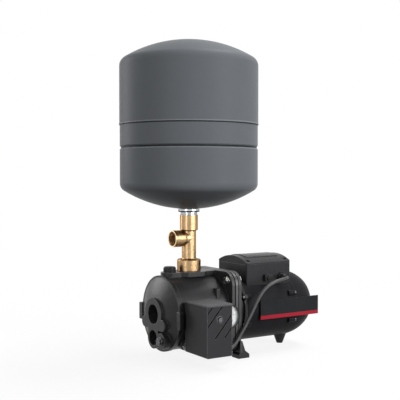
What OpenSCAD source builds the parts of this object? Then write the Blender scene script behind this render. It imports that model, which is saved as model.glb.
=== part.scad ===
// Deep well pump: a jet pump with an outlet tee, a pressure tank, a pressure switch
// and a gauge. Millimetres, +Z up, +X from the ports towards the motor. The origin is
// on the floor, midway between the bolt holes of the bracket's two feet.

/* [Pump housing] */
// Height of the shaft above the floor
axis_z = 90; // [89:0.5:96]
// Outer radius of the barrel
barrel_r = 73.4; // [71:0.1:75]
// Wall of the casting
cast_wall = 5.5; // [4.5:0.1:6.5]
// Length from the barrel's front edge to its rear face
barrel_l = 123; // [116:1:140]
// Height and length of the raised band at the front edge
band = [1.8, 9]; // [0.5:0.1:12]
// Height of the domed front
dome_h = 15; // [11:0.5:18]
// Length of the inner suction tube behind the front edge
suction_tube_l = 58; // [50:1:62]
// Reach of the side lugs past the barrel
lug_reach = 6.6; // [4:0.2:9]
// Height of the side lugs
lug_h = 34; // [24:1:40]
// Thickness of the side lugs
lug_t = 8; // [6:0.5:10]
// Distance of the lugs' middle below the shaft
lug_drop = 4; // [0:0.5:6]

/* [Ports] */
// Radius of the suction port
suction_r = 19.5; // [18:0.1:21]
// Radius of the drive port
drive_r = 15.15; // [13:0.05:16]
// Distance of the drive port below the suction port
port_gap = 46.6; // [45:0.2:49]
// Depth of both ports
port_l = 24; // [18:0.5:30]
// Height of the pad's face above the dome
pad_rise = 2; // [1:0.1:4]
// Wall of the pad round the suction port
suction_rim = 13; // [9:0.5:15]
// Wall of the pad round the drive port
drive_rim = 6.2; // [4:0.1:8]
// Radius of the pad's two ears
ear_r = 11.5; // [9:0.5:13]
// Sideways distance of the ears from the shaft
ear_y = 34.5; // [32:0.5:38]
// Distance of the ears below the shaft
ear_drop = 18; // [14:0.5:20]
// Place of the drain plug: sideways, below the shaft
drain_at = [-30.5, -49]; // [-52:0.5:-24]
// Radius of the drain plug's thread
drain_r = 4.8; // [3.5:0.1:6]
// Size of the drain plug's hexagon
drain_af = 13; // [12:0.5:16]
// Wall of the pad round the drain plug
drain_rim = 11; // [8:0.5:12]
// Radius of the filler plug's thread
filler_r = 10; // [8:0.1:11]
// Radius of the filler plug's head
filler_head_r = 12; // [11.5:0.1:13]
// Height of the filler plug's head
filler_head_h = 9.5; // [6:0.5:12]
// Distance of the filler plug behind the front edge
filler_back = 21; // [18:0.5:23]

/* [Top ridge] */
// Height of the ridge above the barrel
ridge_rise = 7.6; // [6:0.1:10]
// Thickness of the ridge's plate
ridge_t = 9.5; // [7:0.5:11]
// Half width of the ridge at the filler, the outlet and the tail
ridge_half = [18, 30, 22]; // [15:1:34]
// Distance of the outlet ahead of the barrel's rear face
outlet_ahead = 57; // [54:1:62]

/* [Flange stack] */
// How far the square flanges reach past the barrel
flange_over = 8.1; // [6:0.1:9.6]
// Radius of the flanges' corners
flange_corner_r = 27; // [20:1:34]
// Thickness of the housing's flange
housing_flange_t = 6.5; // [5:0.5:9]
// Thickness of the housing gasket
gasket_t = 2.5; // [1.5:0.1:3]
// Thickness of the seal plate
plate_t = 5.5; // [5:0.5:8]
// Thickness of the bracket's register
register_t = 1.5; // [1:0.1:3]
// Thickness of the bracket's flange
bracket_flange_t = 6.5; // [5:0.5:9]
// Distance of the stack's rear face ahead of the foot holes
stack_ahead = 3; // [2:0.5:6]
// Distance of the flange bolts from the flanges' edges
bolt_in = 17; // [15.5:0.5:18.5]
// Radius of the flange bolts
bolt_r = 4; // [3:0.1:4.5]

/* [Motor bracket] */
// Distance of the foot holes from the middle
foot_y = 74; // [72:0.5:76]
// Length, width and thickness of a foot pad
foot = [26, 24, 7.4]; // [6:0.2:30]
// Radius of the foot holes
foot_hole_r = 4.5; // [3:0.1:6]
// Radius of the bell
bell_r = 66; // [62:0.5:68]
// Wall of the bell
bell_wall = 5; // [4:0.5:7]
// Distance of the bell's rear face behind the foot holes
bell_back = 20; // [18:0.5:26]
// Thickness of the bell's rear ring
bell_ring_t = 6; // [5:0.5:8]

/* [Shaft and bearings] */
// Radius of the shaft at the impeller
shaft_tip_r = 6; // [5:0.1:6.4]
// Radius of the shaft at the seal
shaft_seal_r = 7; // [6.6:0.1:7.6]
// Radius of the shaft in the bearings
journal_r = 8.5; // [8:0.1:9]
// Radius of the shaft in the rotor
shaft_core_r = 11; // [10:0.1:12]
// Radius of the shaft at the fan
shaft_tail_r = 6.5; // [5:0.1:7.5]
// Outer radius of the bearings
bearing_r = 20; // [19:0.5:22]
// Width of the bearings
bearing_w = 12; // [10:0.5:13]
// Radius of the balls
ball_r = 3; // [2.4:0.1:3.3]
// Number of balls in a bearing
balls = 8; // [6:1:9]

/* [Impeller and diffuser] */
// Radius of the impeller
impeller_r = 50; // [44:0.5:51]
// Radius of the impeller's eye
eye_r = 13.5; // [12.5:0.1:14]
// Width of the impeller's water passage
passage_w = 10; // [7:0.5:12]
// Thickness of the impeller's shrouds
shroud_t = 2.5; // [1.5:0.1:3]
// Number of impeller vanes
vanes = 6; // [4:1:8]
// Outer radius of the impeller's hub
impeller_hub_r = 10.5; // [9:0.1:11]
// Gap between the impeller and the diffuser
impeller_gap = 1; // [0.6:0.1:2]
// Thickness of the diffuser's disc
diffuser_t = 3; // [2:0.1:4]
// Wall of the diffuser's inlet sleeve
sleeve_wall = 3; // [2:0.1:3.4]
// Overlap of the inlet sleeve in the suction tube
sleeve_overlap = 8; // [5:0.5:12]
// Outer radius of the seal seat
seat_r = 12; // [11:0.1:13]
// Length of the seal seat
seat_l = 7; // [5:0.5:8]
// How far the seal seat stands ahead of the seal plate
seat_out = 2.5; // [1.5:0.1:3]
// Length of the turning seal head
seal_head_l = 6; // [5:0.5:8]

/* [Motor] */
// Outer radius of the motor
motor_r = 70.5; // [70:0.1:71]
// Wall of the motor frame
frame_wall = 2.4; // [2:0.1:3]
// Length of the motor frame
frame_l = 116; // [112:1:118]
// Length of the rear end shield
shield_l = 20; // [18:0.5:21]
// Length of the end shield in front of the fan cover
shield_open = 11; // [10.5:0.1:13]
// Wall of the end shield
shield_wall = 5; // [4:0.5:7]
// Angle of the motor screws above and below the middle
screw_angle = 23; // [18:1:28]
// Length of the stator core
core_l = 70; // [60:1:76]
// Inner radius of the stator core
core_r = 36; // [33:0.5:38]
// Air gap between rotor and stator
air_gap = 0.5; // [0.3:0.1:0.8]
// Distance of the core behind the frame's front edge
core_back = 22; // [19:0.5:24]
// Length of the fan cover
cover_l = 57; // [54:0.5:60]
// Wall of the fan cover
cover_wall = 1.5; // [1.2:0.1:2]
// Radius of the fan cover's swept side
cover_arc = 85; // [80:1:100]
// Radius of the fan cover's rear edge
cover_round = 14; // [10:1:20]
// Number of slots in the fan cover
slots = 16; // [10:1:20]
// Radius of the cooling fan
fan_r = 57; // [48:1:58]
// Number of fan blades
blades = 7; // [5:1:9]
// Distance of the rear foot behind the motor frame
rear_foot_back = 19.5; // [15:0.5:21]
// Radius of the rear foot at its bottom and its top
rear_foot_r = [6.5, 15.5]; // [5:0.5:17]

/* [Terminal box] */
// Distance of the terminal box behind the frame's front edge
box_back = 10; // [8:0.5:14]
// Length of the terminal box
box_l = 113; // [108:0.5:116]
// Half width of the terminal box
box_half = 52; // [50:0.5:53]
// Height of the box's rim above the shaft
box_rim = 91; // [90.5:0.5:98]
// Wall of the terminal box
box_wall = 2.5; // [2:0.1:3]
// Height of the cover's side
cover_side = 3; // [2:0.5:5]
// Height of the cover's crown above its side
cover_crown = 13; // [10:0.5:14]
// Distance of the cover screws from the box's sides
post_inset = 9; // [8:0.5:11]
// Place of the cable gland behind the box's front end
gland_back = 88; // [80:1:94]
// Place of the spare gland behind the box's front end
spare_back = 53; // [46:1:58]
// Height of both glands above the shaft
gland_rise = 62; // [61:0.5:66]
// Outer radius of the cable gland
gland_r = 8; // [7:0.1:8.4]
// Radius of the switch cable
cable_r = 3.5; // [3:0.1:3.8]
// Radius of the capacitor
capacitor_r = 13; // [11:0.5:13.5]
// Length of the capacitor
capacitor_l = 60; // [45:1:66]
// Radius of the cover's screws
lid_screw_r = 1.6; // [1.4:0.1:2]
// Radius of their heads
lid_head_r = 3.6; // [3:0.1:4]
// Height of their heads
lid_head_h = 2.4; // [2:0.1:3]
// How deep the screws go into the box's posts
lid_screw_l = 11; // [8:0.5:14]

/* [Name band] */
// Distance of the band behind the frame's front edge
name_back = 29; // [26:0.5:36]
// Length of the band
name_l = 151; // [140:1:153]
// Height of the band
name_h = 39; // [34:1:42]
// Thickness of the band
name_t = 2.5; // [2:0.1:3]

/* [Outlet tee] */
// Radius of the outlet thread, also of the tank's and the branch's
thread_r = 16.6; // [16:0.1:17]
// Length of the tee's threaded end in the housing
spigot_l = 12; // [10:0.5:12.5]
// Radius of the tee's bottom collar
collar_r = 23.9; // [22:0.1:25]
// Height of the tee's bottom collar
collar_h = 24; // [20:0.5:28]
// Radius of the tee's tube
tee_r = 14.3; // [13:0.1:15]
// Radius of the tee's bore
tee_bore_r = 11; // [9:0.1:12]
// Height of the branch above the ridge
branch_up = 66; // [62:0.5:68]
// Reach of the branch from the tee's axis
branch_l = 39; // [34:0.5:42]
// Length of the branch's thread
branch_thread_l = 19; // [16:0.5:20]
// Wall of the branch at its mouth
branch_wall = 2.2; // [1.6:0.1:3]
// Height of the tee
tee_h = 113; // [110:0.5:118]
// Height of the top collar
top_collar_h = 30; // [26:0.5:30]
// Wall of the top collar round the thread
top_collar_wall = 1.45; // [1.2:0.05:3]
// Depth of the tank's thread in the top collar
tank_thread_l = 16; // [12:0.5:18]

/* [Pressure tank] */
// Outer radius of the upper shell
tank_r = 139.5; // [134:0.5:142]
// Height of the tank's body
tank_h = 338; // [334:1:344]
// Height of each rounded end
tank_end_h = 52; // [48:0.5:54]
// Radius of the rounded shoulders
shoulder_r = 18; // [14:0.5:24]
// Wall of both shells
shell_t = 1.4; // [1.2:0.1:1.8]
// Height of the seam above the tank's bottom
seam_up = 168.5; // [160:0.5:176]
// Distance of the groove below the seam
groove_down = 45.5; // [38:0.5:52]
// Depth of the groove
groove_d = 2.2; // [1:0.1:3]
// Step in from the upper to the lower shell
seam_step = 0.8; // [0.6:0.1:1]
// Height of the tee's gap to the tank's flange
neck_gap = 6.5; // [4:0.5:8]
// Radius of the tank's bottom flange
tank_flange_r = 21.4; // [20:0.1:23]
// Thickness of the tank's bottom flange
tank_flange_t = 5.5; // [4:0.5:6]
// Thickness of the diaphragm
diaphragm_t = 2.5; // [1.5:0.1:3]
// Height of the diaphragm's dome
diaphragm_h = 70; // [50:1:90]
// Radius and depth of the recess round the air valve
recess = [14, 18]; // [12:0.5:22]
// Radius of the air valve's stem
valve_r = 4; // [3.5:0.1:4.5]
// Travel of the valve's pin
pin_travel = 1.5; // [1:0.1:2]

/* [Pressure switch] */
// Distance of the switch ahead of the outlet's axis
switch_ahead = 54; // [52:0.5:55]
// Width of the switch
switch_w = 56; // [54:0.5:57]
// Height of the switch's bottom above the floor
switch_z = 26; // [24:0.5:28]
// Height of the switch
switch_h = 98; // [94:0.5:102]
// Gap between the barrel and the switch
switch_gap = 1.6; // [1.4:0.1:4]
// Depth of the switch
switch_d = 77; // [72:0.5:80]
// Wall of the switch cover
switch_wall = 2.2; // [1.8:0.1:2.6]
// Overhang of the cover's top
switch_lip = 0.8; // [0.4:0.1:1]
// Place of the nipple from the switch's left side and bottom
nipple_at = [11, 8.5]; // [8:0.5:12]
// Radius of the nipple's thread
nipple_r = 6.5; // [5:0.1:7]
// Size of the nipple's hexagon
nipple_af = 17; // [15:0.5:17]
// Height of the switch's cable gland above its bottom
switch_gland_up = 10; // [9:0.5:12]
// Travel of the pressure plunger
plunger_travel = 0.8; // [0.5:0.1:1]

/* [Pressure gauge] */
// Distance of the gauge ahead of the barrel's rear face
gauge_ahead = 29; // [28:0.5:30]
// Radius of the gauge
gauge_r = 25; // [22:0.5:25.4]
// Gap between the barrel and the gauge's back
gauge_gap = 9.1; // [8.6:0.1:12]
// Depth of the gauge's case
gauge_d = 21.5; // [18:0.5:25]
// Radius of the gauge's thread
gauge_thread_r = 6.5; // [5:0.1:7]

/* [Hidden] */
$fn = 96;

over = 1;       // how far a cut runs past the face that it opens
fit = 0.05;     // radial clearance of a seated or turning round fit
near = 0.1;     // gap between flat faces of two bodies

// Stations along the shaft, from the foot holes forward
stack_rear = -stack_ahead;
bracket_front = stack_rear - bracket_flange_t;
plate_rear = bracket_front - register_t;
plate_front = plate_rear - plate_t;
barrel_rear = plate_front - gasket_t;
housing_flange_front = barrel_rear - housing_flange_t;
front_x = barrel_rear - barrel_l;
dome_x = front_x - dome_h;
face_x = dome_x - pad_rise;
cavity_r = barrel_r - cast_wall;
dome_base_r = barrel_r - 2;
flange_half = barrel_r + flange_over;
bolt_half = flange_half - bolt_in;
dome_rad = (dome_base_r * dome_base_r + dome_h * dome_h) / (2 * dome_h);
suction_in_r = suction_r - 2.5;
tube_end = front_x + suction_tube_l;
outlet_x = barrel_rear - outlet_ahead;
filler_x = front_x + filler_back;
ridge_top = axis_z + barrel_r + ridge_rise;
filler_seal_t = 1.5;

// Wet end, from the seal plate forward
seat_front = plate_front - seat_out;
head_front = seat_front - near - seal_head_l;
rear_shroud_x = head_front - shroud_t;
front_shroud_x = rear_shroud_x - passage_w - shroud_t;
disc_rear = front_shroud_x - impeller_gap;
disc_front = disc_rear - diffuser_t;
neck_r = eye_r + 2.5;
nut_l = 7;
nut_front = front_shroud_x - 2 - nut_l;
ring_r = cavity_r - 1.1;

// Motor, from the bell backward
frame_front = bell_back;
frame_rear = frame_front + frame_l;
shield_rear = frame_rear + shield_l;
screw_r = 2.1;
screw_circle = motor_r + 1.2;
lug_r = 6;
lug_l = 6;
bearing1 = 2;
bearing2 = frame_rear + 6;
pitch_r = (journal_r + bearing_r) / 2;
core_front = frame_front + core_back;
cover_front = frame_rear + shield_open;
cover_end = cover_front + cover_l;
fan_x = shield_rear + 4;
fan_w = 20;
box_front = frame_front + box_back;
box_mid = box_front + box_l / 2;
rim_z = axis_z + box_rim;
gland_x = box_front + gland_back;
gland_z = axis_z + gland_rise;
gland_out = 16;
crown_r = (box_half * box_half + cover_crown * cover_crown) / (2 * cover_crown);
crown_z = rim_z + cover_side + cover_crown - crown_r;
lid_seat = 2.5;  // where the screws' heads rest, above the rim
cover_cut = cover_side + cover_crown + 12;  // a cut through the cover's top
floor_r = motor_r + 3;

// Tee and tank, from the ridge upward
branch_z = ridge_top + branch_up;
tee_top = ridge_top + tee_h;
tank_z = tee_top + neck_gap + tank_flange_t;
tank_top = tank_z + tank_h;
seam_z = tank_z + seam_up;
groove_z = seam_z - groove_down;
lower_r = tank_r - seam_step;
joggle_r = tank_r - shell_t - fit;
joggle_h = 12;
valve_floor = tank_top - recess[1];
pin_r = 1.1;

// Switch and gauge
switch_x = outlet_x - switch_ahead;
nipple_x = switch_x + nipple_at[0];
nipple_z = switch_z + nipple_at[1];
switch_back = barrel_r + switch_gap;
switch_front = switch_back + switch_d;
// Where the housing's boss ends and the nipple's hexagon starts, just clear of the barrel
nipple_out = sqrt(pow(barrel_r, 2) - pow(axis_z - nipple_z - nipple_af / sqrt(3), 2)) + 0.6;
hexagon_l = 8;
chamber_x = nipple_x + 7.6;
chamber_z = nipple_z + 7;
chamber_r = 13;
boss_x = switch_x + switch_w / 2;
boss_z = switch_z + 0.71 * switch_h;
switch_gland_y = switch_back + 30;
gauge_x = barrel_rear - gauge_ahead;
gauge_back = barrel_r + gauge_gap;
gauge_out = barrel_r + 3.6;
gauge_front = gauge_back + gauge_d;
gauge_wall = 1.6;
dial_y = gauge_front - 5;

// Route of the switch cable, from the cable gland to the switch's gland
cable_route = [[118, -66, 152], [118, -71, 152], [115, -77, 152], [108, -82, 152],
    [98, -85, 151], [86, -87, 149.5], [72, -88, 146], [58, -88, 140], [46, -88, 131],
    [37, -88, 121], [29, -88, 109], [22, -88, 97], [14, -88, 84], [5, -88, 71],
    [-3, -88, 59], [-11, -88, 48], [-19, -89, 38], [-28, -91, 30], [-38, -95, 25.5],
    [-46, -99.5, 26], [-52, -102.7, 30], [-56.5, -104.5, 34], [-60, -105, 36], [-66, -105, 36]];
cable_sides = 10;

// Places what follows on the shaft's line: local X and Y become world Y and Z
module on_shaft(x) translate([x, 0, axis_z]) rotate([90, 0, 90]) children();

// Places what follows on a line that leaves the near side: local Z becomes world -Y
module to_near(x, y, z) translate([x, y, z]) rotate([90, 0, 0]) children();

module tube(outer, inner, h)
    difference() {
        cylinder(r = outer, h = h);
        translate([0, 0, -over]) cylinder(r = inner, h = h + 2 * over);
    }

module hexagon(af, h) cylinder(r = af / sqrt(3), h = h, $fn = 6);

module rounded(size, r) {
    square([size[0], size[1] - 2 * r], center = true);
    square([size[0] - 2 * r, size[1]], center = true);
    for (x = [-1, 1], y = [-1, 1])
        translate([x * (size[0] / 2 - r), y * (size[1] / 2 - r)]) circle(r = r);
}

module at_bolts() for (y = [-1, 1], z = [-1, 1]) translate([y, z] * bolt_half) children();

module flange(t, inset, centre_r)
    linear_extrude(t) difference() {
        rounded([2, 2] * (flange_half - inset), flange_corner_r - inset);
        circle(r = centre_r);
        at_bolts() circle(r = bolt_r + 0.3);
    }

module at_screws(r)
    for (a = [screw_angle, 180 - screw_angle, 180 + screw_angle, -screw_angle])
        rotate(a) translate([r, 0]) children();

// A vane between two radii that swings back by an angle
function vane_side(r0, r1, swing, t) = [for (i = [0:6])
    let (r = r0 + (r1 - r0) * i / 6, a = swing * i / 6 + t / r * 90 / PI) r * [cos(a), sin(a)]];
function vane(r0, r1, swing, t) = concat(vane_side(r0, r1, swing, -t),
    [for (i = [6:-1:0]) vane_side(r0, r1, swing, t)[i]]);

module pad_outline() {
    circle(r = suction_r + suction_rim);
    translate([0, -port_gap]) circle(r = drive_r + drive_rim);
    for (s = [-1, 1]) translate([s * ear_y, -ear_drop]) circle(r = ear_r);
    translate([0, -ear_drop]) square([2 * ear_y, 2 * ear_r], center = true);
    translate([-20, -port_gap]) square([40, port_gap]);
    translate(drain_at) circle(r = drain_r + drain_rim);
}

module dome(r, base) intersection() {
    on_shaft(dome_x + dome_rad) sphere(r = r, $fn = 160);
    on_shaft(dome_x - over) cylinder(r = base, h = dome_h + 5);
}

module ridge_outline() {
    front = filler_x - front_x - 2;
    translate([filler_x, 0]) circle(r = ridge_half[0]);
    translate([filler_x, -ridge_half[0]]) square([outlet_x - filler_x, 2 * ridge_half[0]]);
    polygon([for (s = [[-30, 0.55], [-19, 1], [19, 1], [30, 0.7], [30, -0.7], [19, -1],
        [-19, -1], [-30, -0.55]]) [outlet_x + s[0], s[1] * ridge_half[1]]]);
    translate([outlet_x, -ridge_half[2]]) square([barrel_rear - outlet_x, 2 * ridge_half[2]]);
}

module pump_housing() color([0.2, 0.2, 0.21]) difference() {
    union() {
        difference() {
            union() {
                on_shaft(front_x) cylinder(r = barrel_r, h = barrel_l);
                on_shaft(front_x) cylinder(r = barrel_r + band[0], h = band[1]);
                dome(dome_rad, dome_base_r);
                on_shaft(face_x) linear_extrude(dome_h + pad_rise + 2) pad_outline();
                on_shaft(housing_flange_front) flange(housing_flange_t, 0, barrel_r - 2);
                on_shaft(front_x - lug_t / 2) linear_extrude(lug_t)
                    for (s = [-1, 1]) translate([s * (barrel_r + lug_reach / 2 - 1), -lug_drop])
                        rounded([lug_reach + 6, lug_h], 2);
                translate([0, 0, ridge_top - ridge_t]) linear_extrude(ridge_t) ridge_outline();
                translate([front_x + 3, -16, ridge_top - ridge_t - 8])
                    cube([barrel_l - 3, 32, 9]);
                to_near(nipple_x, -25, nipple_z) cylinder(r = nipple_r + 4, h = nipple_out - 25);
                to_near(gauge_x, -50, axis_z) cylinder(r = gauge_thread_r + 5, h = gauge_out - 50);
                translate([gauge_x - 5, -barrel_r * 0.92, axis_z]) cube([8, 25, 50]);
            }
            on_shaft(front_x + 3) cylinder(r = cavity_r, h = barrel_l);
            dome(dome_rad - cast_wall, cavity_r - 1);
        }
        intersection() {
            on_shaft(dome_x + 2) cylinder(r = suction_in_r + 8, h = tube_end - dome_x - 2);
            on_shaft(front_x) cylinder(r = cavity_r + 1, h = barrel_l);
        }
        on_shaft(dome_x + 3) cylinder(r = suction_in_r + 8, h = dome_h);
        on_shaft(face_x + 1) translate([0, -port_gap]) cylinder(r = drive_r + 4, h = port_l);
        on_shaft(face_x + 1) translate(drain_at) cylinder(r = drain_r + 5, h = port_l - 4);
    }
    on_shaft(face_x - over) cylinder(r = suction_r, h = port_l + over);
    on_shaft(face_x) cylinder(r = suction_in_r, h = tube_end - face_x + over);
    on_shaft(face_x - over) translate([0, -port_gap]) cylinder(r = drive_r, h = port_l + 2 * over);
    on_shaft(face_x - over) translate(drain_at) cylinder(r = drain_r + fit, h = port_l);
    translate([outlet_x, 0, ridge_top - spigot_l]) cylinder(r = thread_r + fit, h = spigot_l + over);
    translate([outlet_x, 0, axis_z + 30]) cylinder(r = thread_r - 3, h = barrel_r);
    translate([filler_x, 0, axis_z + 30]) cylinder(r = filler_r + fit, h = barrel_r);
    to_near(nipple_x, -20, nipple_z) cylinder(r = nipple_r + fit, h = 60);
    to_near(gauge_x, -50, axis_z) cylinder(r = gauge_thread_r + fit, h = 60);
}

module diffuser() color([0.75, 0.73, 0.66]) difference() {
    union() {
        on_shaft(disc_front) tube(ring_r, neck_r + 0.5, diffuser_t);
        on_shaft(disc_front) tube(ring_r, ring_r - 3.5, plate_front - disc_front);
        on_shaft(disc_rear - 0.5) for (i = [0:4]) rotate(72 * i) linear_extrude(passage_w + 3)
            polygon(vane(impeller_r + 1.5, ring_r - 2, 28, 3));
        on_shaft(disc_front - 14) tube(neck_r + 4, suction_in_r - sleeve_wall, 14);
        on_shaft(tube_end - sleeve_overlap)
            tube(suction_in_r - fit, suction_in_r - sleeve_wall, disc_front - tube_end + sleeve_overlap);
    }
    on_shaft(disc_front - over) for (i = [0:4]) rotate(72 * i + 50)
        translate([impeller_r + 5, 0]) cylinder(r = 4, h = diffuser_t + 2 * over);
}

module housing_gasket() color([0.12, 0.12, 0.12])
    on_shaft(barrel_rear) flange(gasket_t, 2, cavity_r);

module seal_plate() color([0.23, 0.23, 0.24]) difference() {
    union() {
        on_shaft(plate_front) flange(plate_t, 0, seat_r);
        on_shaft(plate_front) cylinder(r = seat_r + 8, h = plate_t + 4);
    }
    on_shaft(plate_front - over) cylinder(r = seat_r + fit, h = seat_l - seat_out + over);
    on_shaft(plate_front) cylinder(r = shaft_seal_r + 1, h = plate_t + 6);
}

bolt_head = 5.3;
nut_h = 6.5;
stack_l = stack_rear - housing_flange_front;

module flange_bolts() color([0.78, 0.78, 0.76]) on_shaft(housing_flange_front) at_bolts()
    union() {
        cylinder(r = bolt_r, h = stack_l + nut_h + 2);
        translate([0, 0, -1.2]) cylinder(r = bolt_r * 1.9, h = 1.2);
        translate([0, 0, -1.2 - bolt_head]) hexagon(bolt_r * 3.25, bolt_head);
    }

module flange_nuts() color([0.78, 0.78, 0.76]) on_shaft(stack_rear) at_bolts() difference() {
    hexagon(bolt_r * 3.25, nut_h);
    translate([0, 0, -over]) cylinder(r = bolt_r + fit, h = nut_h + 2 * over);
}

module filler_plug() color([0.1, 0.1, 0.1]) translate([filler_x, 0, ridge_top + near + filler_seal_t])
    union() {
        rotate_extrude() {
            square([filler_head_r, filler_head_h - 2.5]);
            square([filler_head_r - 2.5, filler_head_h]);
            translate([filler_head_r - 2.5, filler_head_h - 2.5]) circle(r = 2.5, $fn = 48);
        }
        translate([0, 0, -filler_seal_t - near - 11]) cylinder(r = filler_r, h = 13);
    }

module filler_seal() color([0.08, 0.08, 0.08])
    translate([filler_x, 0, ridge_top + near]) tube(filler_head_r + 0.8, filler_r + fit, filler_seal_t);

module drain_plug() color([0.12, 0.12, 0.12]) on_shaft(face_x - near) translate(drain_at) union() {
    translate([0, 0, -1.5]) cylinder(r = drain_af * 0.62, h = 1.5);
    translate([0, 0, -6.5]) hexagon(drain_af, 5.5);
    cylinder(r = drain_r, h = 14);
}

module seal_seat() color([0.85, 0.84, 0.8])
    on_shaft(seat_front) tube(seat_r, shaft_seal_r + 0.6, seat_l);

module leg(s) {
    top = axis_z - flange_half + 26;
    y0 = s > 0 ? foot_y - foot[1] / 2 : -foot_y - foot[1] / 2;
    translate([0, y0 + foot[1], 0]) rotate([90, 0, 0]) linear_extrude(foot[1])
        polygon([[-foot[0] / 2, 0], [foot[0] / 2, 0], [foot[0] / 2, foot[2]],
            [foot[0] / 2 - 10, foot[2] * 2], [stack_rear - 1, top], [bracket_front, top],
            [bracket_front, foot[2] + 4], [-foot[0] / 2, foot[2]]]);
}

module motor_bracket() color([0.19, 0.19, 0.2]) difference() {
    union() {
        on_shaft(bracket_front) flange(bracket_flange_t, 0, 46);
        on_shaft(plate_rear) flange(register_t + over, 2, 46);
        for (s = [-1, 1]) leg(s);
        on_shaft(stack_rear - over) tube(bell_r, bell_r - bell_wall, bell_back + stack_ahead + over);
        on_shaft(bell_back - bell_ring_t) linear_extrude(bell_ring_t) difference() {
            union() {
                circle(r = motor_r);
                at_screws(motor_r) circle(r = lug_r);
            }
            circle(r = bell_r - bell_wall);
        }
        on_shaft(bearing1 - 2) cylinder(r = bell_r - 1, h = 5);
        on_shaft(bearing1 - 2) cylinder(r = bearing_r + 6, h = bearing_w + 2);
        on_shaft(bell_back - over) tube(motor_r - frame_wall - fit, bell_r - bell_wall, 6);
    }
    on_shaft(bearing1) cylinder(r = bearing_r + fit, h = bearing_w + over);
    on_shaft(bearing1 - 3) cylinder(r = journal_r + 4, h = 6);
    on_shaft(bell_back - bell_ring_t - over) at_screws(screw_circle)
        cylinder(r = screw_r + 0.3, h = bell_ring_t + 2 * over);
    on_shaft(stack_rear - 2 * bracket_flange_t) at_bolts() cylinder(r = bolt_r + 0.3, h = 40);
    on_shaft(stack_rear) at_bolts() cylinder(r = bolt_r * 2.2, h = 30);
    for (s = [-1, 1]) translate([0, s * foot_y, -over]) cylinder(r = foot_hole_r, h = foot[2] + 30);
    for (s = [-1, 1]) translate([0, s * foot_y, foot[2]]) cylinder(r = foot_hole_r + 4, h = 30);
}

screw_head = 4;
screw_l = 10;

module screw() union() {
    difference() {
        translate([0, 0, -screw_head]) cylinder(r = screw_r * 1.8, h = screw_head);
        translate([0, 0, -screw_head - over]) hexagon(screw_r * 1.6, screw_head * 0.6 + over);
    }
    cylinder(r = screw_r, h = screw_l);
}

module motor_screws() color([0.75, 0.75, 0.74]) {
    on_shaft(bell_back - bell_ring_t) at_screws(screw_circle) screw();
    on_shaft(frame_rear + lug_l) at_screws(screw_circle) mirror([0, 0, 1]) screw();
}

module lug_ring(x, l) on_shaft(x) linear_extrude(l) difference() {
    union() {
        circle(r = motor_r);
        at_screws(motor_r) circle(r = lug_r);
    }
    circle(r = motor_r - frame_wall);
}

module motor_frame() color([0.24, 0.24, 0.25]) difference() {
    union() {
        on_shaft(frame_front) tube(motor_r, motor_r - frame_wall, frame_l);
        lug_ring(frame_front, lug_l + 3);
        lug_ring(frame_rear - lug_l - 3, lug_l + 3);
    }
    for (x = [frame_front - over, frame_rear - lug_l]) on_shaft(x) at_screws(screw_circle)
        cylinder(r = screw_r + fit, h = lug_l + over);
}

module stator_core() color([0.45, 0.46, 0.48]) on_shaft(core_front)
    tube(motor_r - frame_wall - fit, core_r, core_l);

module windings() color([0.72, 0.4, 0.2]) for (x = [core_front - 12, core_front + core_l])
    on_shaft(x) rotate_extrude() translate([core_r + 6, 0]) union() {
        translate([3, 0]) square([14, 12]);
        translate([0, 3]) square([20, 6]);
    }

module end_shield() color([0.3, 0.3, 0.31]) difference() {
    union() {
        on_shaft(frame_rear) tube(motor_r, motor_r - shield_wall - 2, shield_open);
        lug_ring(frame_rear, lug_l);
        on_shaft(frame_rear + 2) tube(motor_r - cover_wall - fit, motor_r - shield_wall - 2, shield_l - 2);
        on_shaft(frame_rear - 6) tube(motor_r - frame_wall - fit, motor_r - shield_wall - 2, 8);
        on_shaft(shield_rear - 6) cylinder(r = motor_r - 5, h = 6);
        on_shaft(bearing2) cylinder(r = bearing_r + 5, h = bearing_w + 2);
    }
    on_shaft(bearing2 - over) cylinder(r = bearing_r + fit, h = bearing_w + over);
    on_shaft(bearing2) cylinder(r = journal_r + 2, h = bearing_w + 6);
    on_shaft(frame_rear - over) at_screws(screw_circle) cylinder(r = screw_r + 0.3, h = lug_l + 2);
    on_shaft(frame_rear + lug_l) at_screws(screw_circle) cylinder(r = screw_r * 2.4, h = 10);
}

module motor_foot() color([0.13, 0.13, 0.13]) difference() {
    translate([frame_rear + rear_foot_back, 0, 0])
        cylinder(r1 = rear_foot_r[0], r2 = rear_foot_r[1], h = axis_z - motor_r + 5);
    on_shaft(frame_rear - 40) cylinder(r = motor_r + fit, h = 40 + shield_open);
    on_shaft(cover_front) rotate_extrude() cover_profile(-fit);
}

module at_bearings() for (x = [bearing1, bearing2]) on_shaft(x) children();

module race(r) translate([0, 0, bearing_w / 2])
    rotate_extrude() translate([pitch_r, 0]) circle(r = r, $fn = 48);

module bearing_outers() color([0.7, 0.7, 0.72]) at_bearings() difference() {
    tube(bearing_r, pitch_r + ball_r * 0.7, bearing_w);
    race(ball_r + fit);
}

module bearing_inners() color([0.7, 0.7, 0.72]) at_bearings() difference() {
    tube(pitch_r - ball_r * 0.7, journal_r + 0.02, bearing_w);
    race(ball_r + fit);
}

module bearing_balls() color([0.8, 0.8, 0.82]) at_bearings() for (i = [0:balls - 1])
    rotate(360 / balls * i) translate([pitch_r, 0, bearing_w / 2]) sphere(r = ball_r, $fn = 32);

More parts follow.
